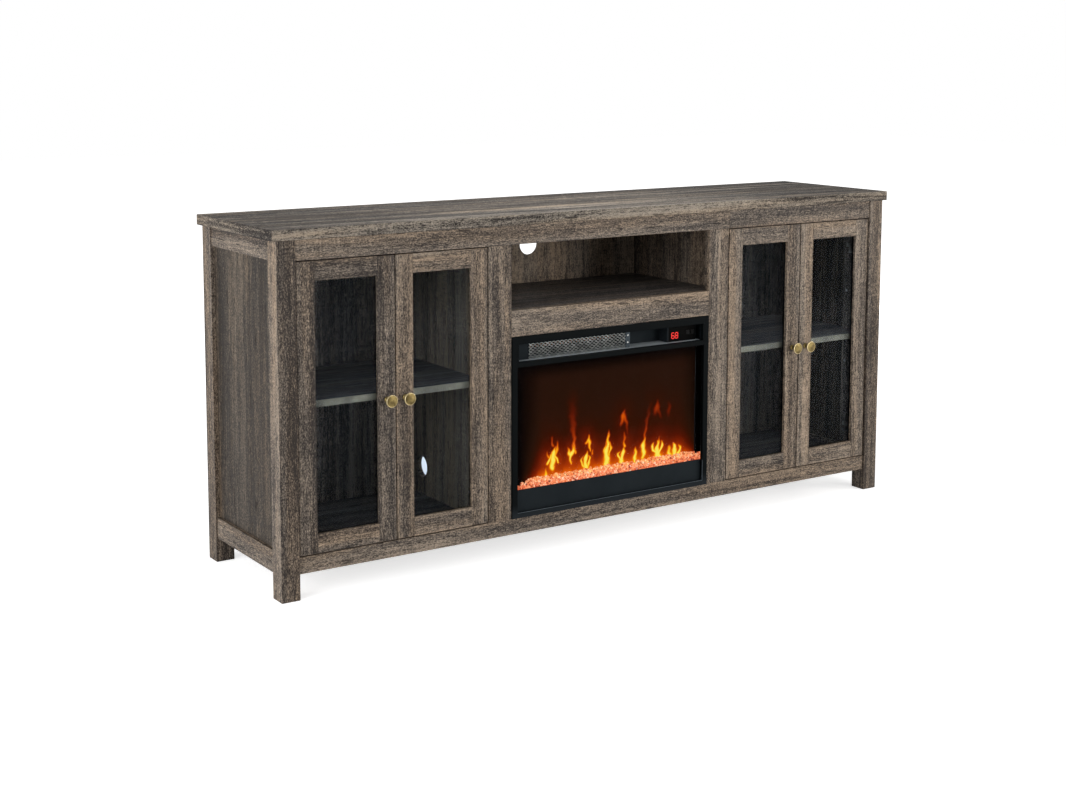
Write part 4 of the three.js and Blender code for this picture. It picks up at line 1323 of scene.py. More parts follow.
        # A painted highlight round the knob's rim
        Maker.point_values(piece, "rim_highlight", lambda places: self.painted_rim_highlight(places, centre, radius))
        screw = [Head.KNOB_SCREW.at((centre[0], self.back, centre[2]))]
        self.maker.heads(f"{self.name}_knob_screw", screw, body=self.body)
        heights = (self.box.low[2] + self.bumper_from_end, self.box.high[2] - self.bumper_from_end)
        bumpers = [Head.DOOR_BUMPER.at((centre[0], self.back, z)) for z in heights]
        self.maker.heads(f"{self.name}_door_bumpers", bumpers, "clear_rubber", "clear_glass", self.body)

    def painted_rim_highlight(self, places: np.ndarray, centre: np.ndarray, radius: float) -> np.ndarray:
        """How much painted highlight each point of the knob takes: a smooth step from near its rim to the rim
        itself.
        """
        away = np.hypot(places[:, 0] - centre[0], places[:, 2] - centre[2]) / radius
        share = np.clip((away - self.highlight_from) / self.highlight_over, 0, 1)
        return share * share * (3 - 2 * share)

    def hinges(self) -> None:
        """The hinges: the lower one's own nodes, copies of them above, and both cups with their screws."""
        low, high = self.cup_heights
        for part, body in (("arm", "case"), ("link", f"{self.name}_link")):
            node = f"{self.name}_hinge_{part}"
            self.maker.node(node, "nickel")
            upper = f"{self.name}_upper_hinge_{part}"
            self.maker.node_copy(node, upper, (0.0, 0.0, high - low), "nickel", "nickel", body)
        outer = self.cup_radius - self.cup_clear
        inner, rim = outer - self.cup_wall, outer + self.cup_rim
        foot = -self.cup_depth + self.cup_clear
        profile = [
            (0, foot), (outer, foot), (outer, self.flange_clear), (rim, self.flange_clear),
            (rim, self.flange), (inner, self.flange), (inner, foot + self.cup_wall),
            (0, foot + self.cup_wall),
        ]
        cups = Shell.joined(self.at_cups(profile))
        self.maker.piece(f"{self.name}_hinge_cups", cups, "nickel", "nickel", self.body, smooth=False)
        rises = (-self.cup_screw_rise, self.cup_screw_rise)
        screws = [Head.CUP_SCREW.at((self.cup_x, self.back, z + rise)) for z in (low, high) for rise in rises]
        self.maker.heads(f"{self.name}_hinge_cup_screws", screws, body=self.body)


@dataclass(frozen=True)
class Stroke:
    """A tongue of flame on the screen: points from its foot up, each with X, height, width and heat."""

    points: tuple[tuple[float, float, float, float], ...]
    samples: int = 26

    def heat(self, x: np.ndarray, z: np.ndarray) -> np.ndarray:
        """How hot the stroke makes each place.

        The stroke's points, widths and heats are run together evenly, and a place takes the most of
        heat times exp(-(distance / (0.9 width)) ** 2.4) over them.

        Args:
            x: the places across the screen, in millimetres.
            z: their heights.

        Returns:
            The heat at each place.
        """
        knots = np.linspace(0, 1, len(self.points))
        share = np.linspace(0, 1, self.samples)
        line = [np.interp(share, knots, column) for column in np.transpose(self.points)]
        total = np.zeros_like(x)
        for px, pz, wide, hot in zip(*line):
            distance = np.hypot(x - px, z - pz) / (wide * 0.9)
            total = np.maximum(total, hot * np.exp(-(distance ** 2.4)))
        return total

    def halo(self, x: np.ndarray, z: np.ndarray) -> np.ndarray:
        """The dim light round the stroke's foot, 26 mm wide and 30 mm high, its middle 12 mm above it."""
        foot_x, foot_z = self.points[0][:2]
        strength = 0.13 * max(point[3] for point in self.points)
        spread = np.hypot((x - foot_x) / 26, (z - foot_z - 12) / 30)
        return strength * np.exp(-spread ** 1.6)


FLAMES = (
    Stroke(((-166, 166, 5, 0.6), (-166, 174, 3, 0.5), (-164, 186, 1.5, 0.2))),
    Stroke((
        (-145, 186, 6, 0.85), (-146, 198, 7.5, 1.0), (-143, 214, 7, 1.0), (-140, 226, 4, 0.8),
        (-139, 238, 1.6, 0.3),
    )),
    Stroke(((-160, 196, 2.6, 0.65), (-156, 206, 3.2, 0.85), (-150, 216, 3, 0.7))),
    Stroke(((-130, 197, 2.6, 0.7), (-134, 208, 3.4, 0.85), (-139, 218, 3, 0.7))),
    Stroke(((-136, 218, 4.5, 0.55), (-133, 232, 4, 0.5), (-130, 248, 1.5, 0.15))),
    Stroke(((-158, 214, 3, 0.45), (-160, 228, 1.4, 0.15))),
    Stroke(((-146, 240, 3.5, 0.26), (-146, 262, 2, 0.16))),
    Stroke(((-93, 190, 2.4, 0.5), (-93, 204, 3.6, 0.75), (-91, 214, 5, 0.85))),
    Stroke(((-92, 210, 4.5, 0.8), (-99, 218, 4, 0.75), (-101, 230, 1.6, 0.2))),
    Stroke(((-90, 210, 4.5, 0.8), (-85, 219, 5, 0.8), (-86, 232, 2, 0.25))),
    Stroke(((-48, 172, 7, 0.75), (-49, 184, 5.5, 0.9), (-47, 200, 5, 0.95), (-44, 214, 1.6, 0.3))),
    Stroke(((-54, 176, 2.6, 0.6), (-60, 184, 2.6, 0.75), (-60, 194, 2.6, 0.7), (-56, 200, 1.6, 0.3))),
    Stroke(((-42, 176, 2.6, 0.6), (-36, 186, 2.8, 0.78), (-36, 196, 2.6, 0.7), (-41, 203, 1.6, 0.3))),
    Stroke(((-34, 213, 2.2, 0.5), (-36, 226, 3, 0.62), (-40, 236, 5, 0.7), (-38, 250, 2, 0.4))),
    Stroke(((-48, 234, 3, 0.45), (-41, 240, 4, 0.66))),
    Stroke(((-30, 204, 2.5, 0.4), (-26, 212, 2, 0.3))),
    Stroke((
        (15, 172, 7, 0.95), (14, 184, 8, 1.0), (13, 200, 7.5, 0.95), (17, 222, 5.5, 0.85), (19, 240, 4, 0.6),
        (20, 256, 1.6, 0.2),
    )),
    Stroke(((22, 196, 3, 0.6), (26, 210, 3.4, 0.7), (23, 226, 2, 0.35))),
    Stroke(((8, 196, 2.6, 0.55), (8, 212, 3, 0.6), (12, 228, 2, 0.3))),
    Stroke(((57, 173, 5.5, 0.8), (61, 184, 5, 0.9), (65, 196, 5, 0.9), (64, 206, 2, 0.4))),
    Stroke(((57, 176, 3, 0.7), (51, 186, 3.4, 0.85), (50, 194, 3, 0.7), (55, 199, 2, 0.3))),
    Stroke(((68, 210, 4, 0.6), (69, 220, 2, 0.3))),
    Stroke(((56, 266, 4, 0.12), (60, 276, 6.5, 0.28), (64, 286, 6.5, 0.34), (66, 300, 2.4, 0.16))),
    Stroke(((66, 288, 7, 0.32), (70, 276, 6, 0.26), (76, 258, 3.4, 0.13), (78, 240, 2.4, 0.06))),
    Stroke(((67, 216, 2.4, 0.3), (68, 232, 3.4, 0.24), (66, 246, 2.4, 0.14))),
    Stroke(((100, 168, 5, 0.6), (102, 180, 5, 0.75), (101, 194, 4, 0.6), (103, 204, 1.6, 0.2))),
    Stroke((
        (126, 176, 5, 0.6), (127, 190, 6.5, 0.95), (126, 202, 6.5, 0.9), (128, 216, 4, 0.6),
        (131, 230, 1.8, 0.2),
    )),
    Stroke(((130, 224, 3.4, 0.26), (134, 250, 4, 0.14), (138, 292, 3, 0.05))),
    Stroke(((170, 166, 8.5, 0.9), (170, 178, 8.5, 1.0), (170, 192, 6, 0.95), (171, 210, 3, 0.6))),
    Stroke(((165, 180, 3.4, 0.8), (158, 188, 3.6, 0.9), (154, 198, 3.2, 0.8), (157, 206, 1.8, 0.35))),
    Stroke(((175, 180, 3.4, 0.8), (182, 190, 3.6, 0.9), (185, 200, 3.2, 0.8), (183, 208, 1.8, 0.35))),
    Stroke(((174, 206, 3, 0.4), (178, 220, 1.6, 0.15))),
    Stroke(((226, 160, 7, 0.75), (225, 174, 6, 0.85), (223, 190, 5.5, 0.95), (222, 198, 2, 0.4))),
    Stroke(((212, 164, 6, 0.6), (208, 176, 6, 0.66), (206, 192, 3.5, 0.4))),
    Stroke(((234, 166, 4, 0.6), (240, 176, 4, 0.78), (241, 186, 3.4, 0.66), (238, 192, 1.8, 0.3))),
    Stroke(((-80, 212, 2.6, 0.5), (-82, 226, 4.4, 0.42), (-82, 240, 4, 0.3))),
    Stroke((
        (-82, 236, 3.5, 0.27), (-84, 262, 7, 0.17), (-87, 296, 12, 0.12), (-88, 330, 15, 0.07),
        (-88, 360, 16, 0.02),
    )),
    Stroke(((160, 278, 5, 0.06), (164, 288, 7, 0.17), (168, 300, 7, 0.2), (168, 312, 3, 0.1))),
    Stroke(((168, 300, 6, 0.2), (174, 288, 5, 0.15), (180, 268, 3, 0.07))),
    Stroke(((204, 274, 5, 0.06), (206, 288, 6, 0.12), (205, 302, 4, 0.06))),
    Stroke(((150, 312, 3, 0.03), (143, 290, 4, 0.09), (136, 256, 4, 0.14))),
)

GEM_SIDES = 5
GEM_FACES = 4 * GEM_SIDES
DIGIT_BARS = {"6": (1, 0, 1, 1, 1, 1, 1), "8": (1, 1, 1, 1, 1, 1, 1)}


@dataclass
class Insert:
    """The electric fire: trim, glass, flame screen, crystals, vent with its grille, controls and works."""

    maker: Maker
    bevel: float = 0.7 * MM
    edge_line: float = 1.0 * MM
    edge_behind: float = 0.25 * MM
    trim_side: float = 14.5 * MM
    trim_top: float = 18 * MM
    trim_bottom: float = 12 * MM
    mid_bar: tuple[float, float] = (0.4498, 0.4613)
    vent_side: float = 18 * MM
    sill_depth: tuple[float, float] = (5 * MM, 48.5 * MM)
    mask_width: tuple[float, float] = (24 * MM, 17 * MM)
    mask_depth: tuple[float, float] = (9 * MM, 10.5 * MM)
    screen_step: float = 1.45 * MM
    coarse_step: float = 4.5 * MM
    fine_band: tuple[float, float] = (0.158, 0.300)
    ember_line: float = 165
    glow_height: float = 14
    warmth_height: float = 66
    fade_ends: tuple[float, float] = (-236, 300)
    fade_over: float = 60
    dark_top: float = 442
    dark_over: float = 42
    strand_pitch: float = 11.7 * MM
    strand_rise: float = 4.14 * MM
    strand_wide: float = 1.7 * MM
    strand_tilt: float = math.radians(24)
    strand_slim: float = 0.86
    strand_peak: float = 0.97
    bracket_wide: float = 12 * MM
    bracket_screws: tuple[float, float] = (0.3, 0.72)
    crystal_pitch: float = 6.9 * MM
    crystal_margin: float = 5 * MM
    crystal_scatter: float = 0.3
    crystal_size: tuple[float, float] = (2.7, 4.7)
    crystal_stretch: tuple[float, float] = (0.75, 1.2)
    crystal_cut: tuple[float, float] = (0.78, 1.16)
    crystal_warm: tuple[float, float] = (0.56, 0.17)
    dull_ends: tuple[float, float] = (0.235, 0.05)
    dark_crystals: float = 0.07
    black_facets: float = 0.035
    mound_ends: tuple[tuple[float, float], ...] = ((15 * MM, 0.1), (3 * MM, 0.03))
    mound_ripples: tuple[tuple[float, float], ...] = ((1.6 * MM, 0.021), (1.1 * MM, 0.0083))
    digits: str = "68"
    digits_at: tuple[float, float] = (0.1905, 0.4702)
    digit_gap: float = 3.4 * MM
    digit_height: float = 14 * MM
    digit_width: float = 8 * MM
    digit_bar: float = 1.9 * MM
    key_gap: float = 0.5 * MM
    coil_turns: int = 34
    coil_steps: int = 12
    coil_radius: float = 4 * MM
    strip_half: float = 0.26
    bulb_half: float = 0.25
    bulbs: int = 13
    cover_inset: float = 12 * MM
    cover_screw_inset: float = 9 * MM
    louvre: tuple[float, float, float] = (26 * MM, 2.25 * MM, 2.6 * MM)
    louvre_pitch: float = 9.5 * MM
    louvre_columns: tuple[float, ...] = (-0.195, -0.13, 0.13, 0.195)
    louvre_rows: int = 8
    inlet: tuple[float, float] = (0.215, 0.151)

    def __post_init__(self) -> None:
        """Take the insert's place from its construction nodes."""
        self.trim = Box.of("insert_trim")
        self.well = Box.of("ember_tray")
        self.screen = Box.of("flame_screen")
        self.bed = Box.of("ember_bed")
        self.control = Box.of("control_box")
        self.grille = Box.of("heater_grille")
        self.housing = Box.of("insert_housing")

    def build(self) -> None:
        """Make every piece of the insert."""
        self.front_trim()
        self.flame_screen()
        self.side_masks()
        self.crystals()
        self.vent()
        self.expanded_grille()
        self.display_digits()
        self.control_face()
        self.works()
        self.rear_cover()
        self.dress_nodes()

    def dress_nodes(self) -> None:
        """Materials of the construction nodes that stay in sight."""
        finishes = {
            "insert_housing": "vent_paint", "ember_tray": "fascia_steel_floor_lit", "fire_glass": "smoked_glass",
            "control_box": "vent_paint", "power_button": "black_plastic", "heat_button": "black_plastic",
            "flame_spindle": "foil", "spindle_motor": "zinc_sheet", "blower_wheel": "black_plastic",
            "blower_duct": "zinc_sheet",
        }
        for node, finish in finishes.items():
            self.maker.node(node, finish)

    def ring_plate(self, outer: Sequence[float], inner: Sequence[float], front: float, rear: float) -> Shell:
        """A flat frame with eased front edges.

        Rectangles are joined one after another: up the outer wall, over its eased edge, across the face,
        over the inner eased edge, down the inner wall and back across the rear.

        Args:
            outer: the outer rectangle as left, right, bottom and top.
            inner: the opening in the same order.
            front: the front face's place on Y.
            rear: the rear face's place.

        Returns:
            The closed surface.
        """
        ease, part = self.bevel, 0.3
        outer, inner = np.array(outer), np.array(inner)
        signs = np.array([1, -1, 1, -1]) * ease
        steps = [
            (outer, rear), (outer, front + ease), (outer + signs * part, front + ease * part),
            (outer + signs, front), (inner - signs, front),
            (inner - signs * part, front + ease * part), (inner, front + ease), (inner, rear),
        ]
        rings = []
        for (left, right, bottom, top), y in steps:
            rings.append([(left, y, bottom), (right, y, bottom), (right, y, top), (left, y, top)])
        return Shell.lofted(np.array(rings), ring_path=True)

    def front_trim(self) -> None:
        """The black frame, the bar between vent and fire, and the vent's narrower ends."""
        low, high = self.trim.low, self.trim.high
        depth = (low[1], high[1])
        across = (low[0] + self.trim_side, high[0] - self.trim_side)
        opening = (*across, low[2] + self.trim_bottom, high[2] - self.trim_top)
        frame_shell = self.ring_plate((low[0], high[0], low[2], high[2]), opening, *depth)
        bar = eased_block(Box.spans(across, depth, self.mid_bar), Grain.LEVEL, self.bevel)
        ends = []
        for _, side in SIDES:
            span = sorted((side * (high[0] - self.vent_side), side * (high[0] - self.trim_side)))
            box = Box.spans(span, depth, (self.mid_bar[1], opening[3]))
            ends.append(eased_block(box, Grain.UPRIGHT, self.bevel))
        shell = Shell.joined([frame_shell, bar, *ends])
        self.maker.piece("insert_front_trim", shell, "black_steel", "black_steel", replaces=["insert_trim"])
        # The pale strips along the trim's edges are painted highlights
        self.painted_edge_highlights(opening)

    def painted_edge_highlights(self, opening: Sequence[float]) -> None:
        """Painted highlights on the trim's edges: a pale hairline round the foot of the opening and one along
        the top.
        """
        low, high = self.trim.low, self.trim.high
        line = self.edge_line
        front = low[1] + self.edge_behind
        left, right, bottom, _ = opening
        spans = (
            ((left, right), (bottom - line * 0.4, bottom + line * 0.6), Grain.LEVEL),
            ((right - line * 0.6, right + line * 0.4), (bottom, self.well.high[2]), Grain.UPRIGHT),
            ((low[0] + 1 * MM, high[0] - 1 * MM), (high[2] - line, high[2] - 0.1 * MM), Grain.LEVEL),
        )
        shells = []
        for x, z, grain in spans:
            shells.append(eased_block(Box.spans(x, (front, front + line), z), grain, 0.2 * MM, 1))
        self.maker.piece("insert_trim_edge_highlights", Shell.joined(shells), "steel_edge_highlight", "black_steel")

    def heat_at(self, x: np.ndarray, z: np.ndarray) -> np.ndarray:
        """The heat of the screen at each place.

        The strokes' heat is read at places swayed by a few millimetres of crossed sine waves. To it are
        added a glow and a dull warmth, which fall off as exponentials above the embers. Both fade
        towards the ends, and a smooth step darkens the top. All its lengths are in millimetres.

        Args:
            x: places across the screen, in metres.
            z: their heights.

        Returns:
            The heat, nought to one.
        """
        across, up = x / MM, z / MM
        sway_x = 1.5 * np.sin(up / 5.3 + across / 17) + 0.9 * np.sin(up / 2.9 - across / 6.1)
        sway_z = 1.4 * np.sin(across / 4.7 + up / 13)
        hot = np.zeros_like(across)
        halo = np.zeros_like(across)
        for stroke in FLAMES:
            hot = np.maximum(hot, stroke.heat(across + sway_x, up + sway_z))
            halo = np.maximum(halo, stroke.halo(across, up))
        left, right = self.fade_ends
        ends = np.clip((across - left) / self.fade_over, 0, 1) ** 0.8
        ends = ends * np.clip((right - across) / self.fade_over, 0, 1) ** 0.5
        lift = np.clip(up - self.ember_line, 0, None)
        ripple = 0.78 + 0.22 * np.sin(across / 9 + np.sin(across / 3.7)) * np.sin(up / 7 + across / 23)
        glow = 0.32 * np.exp(-lift / self.glow_height) * ripple * ends
        top = np.clip((self.dark_top - up) / self.dark_over, 0, 1)
        warm = (0.09 * top * top * (3 - 2 * top) + 0.2 * np.exp(-lift / self.warmth_height)) * ends
        return np.clip(np.maximum(hot, 0) + (glow + halo) * (1 - hot) + warm, 0, 1)

    def flame_screen(self) -> None:
        """The screen: a grid of points that carry the flames' heat, closed by a border and a back.

        The grid is fine where the flames stand and coarser above them.
        """
        low, high = self.screen.low, self.screen.high
        columns = np.append(np.arange(low[0], high[0], self.screen_step), high[0])
        fine = np.arange(*self.fine_band, self.screen_step)
        coarse = np.arange(self.fine_band[1], high[2] - 2 * MM, self.coarse_step)
        x, z = np.meshgrid(columns, np.concatenate([[low[2]], fine, coarse, [high[2]]]))
        points = np.stack([x, np.full_like(x, low[1]), z], axis=-1).reshape(-1, 3)
        index = np.arange(x.size).reshape(x.shape)
        quads = np.stack([index[:-1, :-1], index[:-1, 1:], index[1:, 1:], index[1:, :-1]], axis=-1)
        border = np.concatenate([index[0, :-1], index[:-1, -1], index[-1, :0:-1], index[:0:-1, 0]])
        rear_points = points[border].copy()
        rear_points[:, 1] = high[1]
        rear = np.arange(len(border)) + x.size
        walls = np.stack([border, rear, np.roll(rear, -1), np.roll(border, -1)], axis=-1)
        faces = quads.reshape(-1, 4).tolist() + walls.tolist() + [rear.tolist()]
        shell = Shell(np.concatenate([points, rear_points]), faces)
        piece = self.maker.piece(
            "flame_screen_lit", shell, "flame_screen", "flame_screen",
            replaces=["flame_screen"], smooth=False,
        )
        heat = Maker.point_values(piece, "warmth", lambda places: self.heat_at(places[:, 0], places[:, 2]))
        LOG.info("flame screen: hottest %.2f", float(heat.max()))

    def side_masks(self) -> None:
        """The sooty strips at both ends of the fire, behind the first row of crystals."""
        near, far = self.mask_depth
        depth = (self.bed.low[1] + near, self.bed.low[1] + far)
        rise = (self.well.low[2] + 4 * MM, self.screen.high[2])
        wall = self.well.high[0]
        for (name, side), width in zip(SIDES, self.mask_width):
            box = Box.spans(sorted((side * (wall - width), side * wall)), depth, rise)
            self.maker.block(
                f"{name}_side_mask", box, Grain.UPRIGHT, 0.5 * MM, "soot_black", "black_steel", 2,
            )

    def crystals(self) -> None:
        """The bed: hundreds of small cut crystals heaped on a lit tray."""
        centres = self.crystal_places()
        shell = self.gems(centres)
        piece = self.maker.piece(
            "ember_crystals", shell, "crystal", "crystal", smooth=False, merge=False, replaces=["ember_bed"],
        )
        write_values(piece.data, "warmth", "FACE", self.crystal_warmth(centres))
        write_values(piece.data, "flame_light", "FACE", self.crystal_flame_light(centres))
        LOG.info("crystals: %d", len(centres))
        low, high = self.bed.low, self.bed.high
        box = Box.spans((low[0], high[0]), (low[1], high[1]), (low[2], self.well.high[2] - 2 * MM))
        tray = eased_block(box, Grain.LEVEL, 1 * MM, 2)
        bed = self.maker.piece("ember_light_tray", tray, "crystal", "crystal", replaces=["ember_bed"])
        Maker.point_values(bed, "warmth", lambda places: np.full(len(places), 0.2))

    def crystal_places(self) -> np.ndarray:
        """Where the crystals lie: a jittered grid over the mound, which is lower at its ends.

        The front rows reach down to the fascia's edge. Behind them only the top of the mound is laid.

        Returns:
            The crystals' middles.
        """
        random, pitch, margin = self.maker.random, self.crystal_pitch, self.crystal_margin
        low, high = self.bed.low, self.bed.high
        rows = []
        for depth in np.arange(low[1] + margin, high[1] - margin * 0.6, pitch * 0.78):
            for height in np.arange(self.well.high[2] - 5 * MM, high[2] - 2 * MM, pitch * 0.62):
                if depth < low[1] + margin * 2.6 or height > high[2] - pitch * 1.45:
                    step = pitch * random.uniform(0.92, 1.05)
                    across = np.arange(low[0] + margin, high[0] - margin * 0.5, step)
                    row = np.stack(np.broadcast_arrays(across, depth, height), axis=1)
                    scatter = random.uniform(-self.crystal_scatter, self.crystal_scatter, row.shape)
                    rows.append(row + scatter * pitch)
        centres = np.concatenate(rows)
        x = centres[:, 0]
        (left_drop, left_reach), (right_drop, right_reach) = self.mound_ends
        ceiling = high[2] - left_drop * np.clip(1 - (x + high[0]) / left_reach, 0, 1) ** 1.3
        ceiling -= right_drop * np.clip(1 - (high[0] - x) / right_reach, 0, 1)
        for swell, wave in self.mound_ripples:
            ceiling += swell * np.sin(x / wave)
        return centres[centres[:, 2] < ceiling - 2.5 * MM]

    def gems(self, centres: np.ndarray) -> Shell:
        """A cut crystal at each place: a rough icosahedron.

        It has a tip, two rings of five points and a tip. Every radius is drawn at random, and the whole is
        stretched and turned by a random rotation.

        Args:
            centres: the crystals' middles.

        Returns:
            All of them as one surface.
        """
        random, count, sides = self.maker.random, len(centres), GEM_SIDES
        level, wide = 1 / math.sqrt(5), 2 / math.sqrt(5)
        angle = np.arange(sides) * 2 * math.pi / sides
        rings = []
        for turn, height in ((angle, level), (angle + math.pi / sides, -level)):
            rings.append(np.stack([wide * np.cos(turn), wide * np.sin(turn), np.full(sides, height)], axis=1))
        gem = np.concatenate([[[0, 0, 1.0]], *rings, [[0, 0, -1.0]]])
        upper = [(1 + here, 1 + (here + 1) % sides) for here in range(sides)]
        lower = [(here + sides, after + sides) for here, after in upper]
        faces = [[0, here, after] for here, after in upper]
        faces += [[here, below, after] for (here, after), (below, _) in zip(upper, lower)]
        faces += [[after, below, beside] for (_, after), (below, beside) in zip(upper, lower)]
        faces += [[len(gem) - 1, beside, below] for below, beside in lower]
        size = random.uniform(*self.crystal_size, (count, 1, 1)) * MM
        stretch = random.uniform(*self.crystal_stretch, (count, 1, 3))
        radii = random.uniform(*self.crystal_cut, (count, len(gem), 1))
        bodies = gem[None] * radii * stretch * size
        bodies = np.einsum("nij,nkj->nki", self.random_turns(count), bodies) + centres[:, None]
        bodies[:, :, :2] = np.clip(bodies[:, :, :2], self.bed.low[:2], self.bed.high[:2])
        all_faces = (np.array(faces)[None] + len(gem) * np.arange(count)[:, None, None]).reshape(-1, 3)
        return Shell(bodies.reshape(-1, 3), all_faces.tolist())

    def random_turns(self, count: int) -> np.ndarray:
        """Rotation matrices, from quaternions drawn at random."""
        spin = self.maker.random.normal(size=(count, 4))
        spin /= np.linalg.norm(spin, axis=1, keepdims=True)
        a, b, c, d = spin.T
        return np.stack([
            np.stack([1 - 2 * (c * c + d * d), 2 * (b * c - a * d), 2 * (b * d + a * c)], axis=1),
            np.stack([2 * (b * c + a * d), 1 - 2 * (b * b + d * d), 2 * (c * d - a * b)], axis=1),
            np.stack([2 * (b * d - a * c), 2 * (c * d + a * b), 1 - 2 * (b * b + c * c)], axis=1),
        ], axis=1)

    def crystal_warmth(self, centres: np.ndarray) -> np.ndarray:
        """How bright each face of each crystal glows.

        A crystal's own brightness is drawn at random and a few are dark. Those near either end are dimmer
        and those at the top brighter. Each face then differs a little, and a few are almost black.

        Args:
            centres: the crystals' middles.

        Returns:
            A number for each face, nought to one.
        """
        random, count = self.maker.random, len(centres)
        own = random.normal(*self.crystal_warm, count)
        dark = random.uniform(size=count) < self.dark_crystals
        own[dark] = random.uniform(0.0, 0.12, int(dark.sum()))
        dull_from, dull_over = self.dull_ends
        own -= 0.22 * np.clip((centres[:, 0] - dull_from) / dull_over, 0, 1)
        own -= 0.2 * np.clip((-dull_from - centres[:, 0]) / dull_over, 0, 1)
        own += 0.16 * np.clip((centres[:, 2] - (self.well.high[2] + 4 * MM)) / (12 * MM), -0.5, 1)
        facet = np.repeat(own, GEM_FACES) + random.normal(0, 0.15, count * GEM_FACES)
        facet[random.uniform(size=count * GEM_FACES) < self.black_facets] = 0.02
        return np.clip(facet, 0, 1).astype(np.float32)

    def crystal_flame_light(self, centres: np.ndarray) -> np.ndarray:
        """How much of the flames' light each face takes: most at the top of the mound, little at its ends."""
        half, top = self.bed.high[0], self.bed.high[2]
        lit = np.clip((centres[:, 2] - (top - 9 * MM)) / (7 * MM), 0, 1)
        lit *= self.maker.random.uniform(0.35, 1.0, len(centres))
        lit *= np.clip((centres[:, 0] + half) / 0.12, 0, 1) * np.clip((half - centres[:, 0]) / 0.04, 0, 1)
        return np.repeat(lit, GEM_FACES).astype(np.float32)

    def vent(self) -> None:
        """The vent's inner faces: a pale sill whose grey is a painted sheen on the ledge, and the wall beside
        the grille.
        """
        half = self.trim.high[0] - self.vent_side
        rear, foot, grille = self.trim.high[1], self.mid_bar[1], self.grille
        near, far = self.sill_depth
        # A pale sheet on the ledge: painted sheen
        sill = Box.spans((-half, half), (rear + near, rear + far), (foot, foot + 0.5 * MM))
        self.maker.block("vent_sill_sheen", sill, Grain.LEVEL, 0.2 * MM, "sill_painted_sheen", "galvanised_steel")
        rise = (grille.low[2] + 0.3 * MM, grille.high[2] - 0.3 * MM)
        depth = (grille.high[1] + 0.6 * MM, grille.high[1] + 1.6 * MM)
        wall = Box.spans((-half, grille.low[0] + 2 * MM), depth, rise)
        self.maker.block("vent_end_wall", wall, Grain.UPRIGHT, 0.2 * MM, "vent_paint", "black_steel")

    def expanded_grille(self) -> None:
        """Expanded metal: zigzag strands that meet at their tips, in a folded end strip.

        A strand's height is a triangle wave of X with its corners rounded, and the next strand is half a
        wave behind it, so that two together make a row of flat diamonds.
        """
        box, wide, peak = self.grille, self.strand_wide, self.strand_peak
        left, right = box.low[0], box.high[0] - self.bracket_wide
        count = round((right - left) / self.strand_pitch)
        rows = int(box.size()[2] / self.strand_rise)
        rise = box.size()[2] / rows
        x = np.linspace(left, right, count * 8 + 1)
        phase = (x - left) / ((right - left) / count)
        half_wide, half_deep = wide / 2, box.size()[1] / 2
        outline = np.array([(-1, -1), (1, -1), (1, 1), (-1, 1)]) * (half_wide, half_deep)
        cos, sin = math.cos(self.strand_tilt), math.sin(self.strand_tilt)
        outline = outline @ np.array([[cos, sin], [-sin, cos]]) * self.strand_slim
        strands = []
        for row in range(rows):
            wave = np.arcsin(peak * np.sin(2 * math.pi * (phase + 0.5 * (row % 2) + 0.25))) / math.asin(peak)
            z = box.low[2] + rise * (row + 0.5) + wave * (rise - wide) / 2
            z = np.clip(z, box.low[2] + half_wide, box.high[2] - half_wide)
            path = np.stack([x, np.full_like(x, box.middle()[1]), z], axis=1)
            strands.append(swept(path, outline, np.array([0.0, 0.0, 1.0])))
        mesh = Shell.joined(strands)
        self.maker.piece(
            "vent_grille_mesh", mesh, "mesh_steel", "mesh_steel", replaces=["heater_grille"], smooth=False,
        )
        depth = (box.low[1] - 0.8 * MM, box.low[1] - 0.05 * MM)
        strip = Box.spans((right - 1 * MM, box.high[0]), depth, (box.low[2], box.high[2]))
        self.maker.block(
            "vent_grille_end_strip", strip, Grain.UPRIGHT, 0.3 * MM, "zinc_sheet", "galvanised_steel", 2,
        )
        middle = (strip.low[0] + strip.high[0]) / 2
        heights = [strip.low[2] + strip.size()[2] * share for share in self.bracket_screws]
        screws = [Head.GRILLE_SCREW.at((middle, strip.low[1], z), way=-1) for z in heights]
        self.maker.heads("vent_grille_screws", screws)

    def display_digits(self) -> None:
        """Two red seven-bar digits on the control box: a plain number."""
        front = self.control.low[1] - 0.45 * MM
        wide, half = self.digit_width, self.digit_height / 2
        segments = (
            ("level", 0, 2 * half), ("upright", wide, half), ("upright", wide, 0), ("level", 0, 0),
            ("upright", 0, 0), ("upright", 0, half), ("level", 0, half),
        )
        bars = []
        for position, digit in enumerate(self.digits):
            x = self.digits_at[0] + position * (wide + self.digit_gap)
            for lit, (way, across, up) in zip(DIGIT_BARS[digit], segments):
                if lit:
                    bars.append(self.digit_segment(way, x + across, self.digits_at[1] + up, front))
        shell = Shell.joined(bars)
        piece = self.maker.piece("control_digits", shell, "red_digit", "black_plastic", smooth=False)
        Maker.point_values(piece, "warmth", lambda places: np.full(len(places), 0.6))

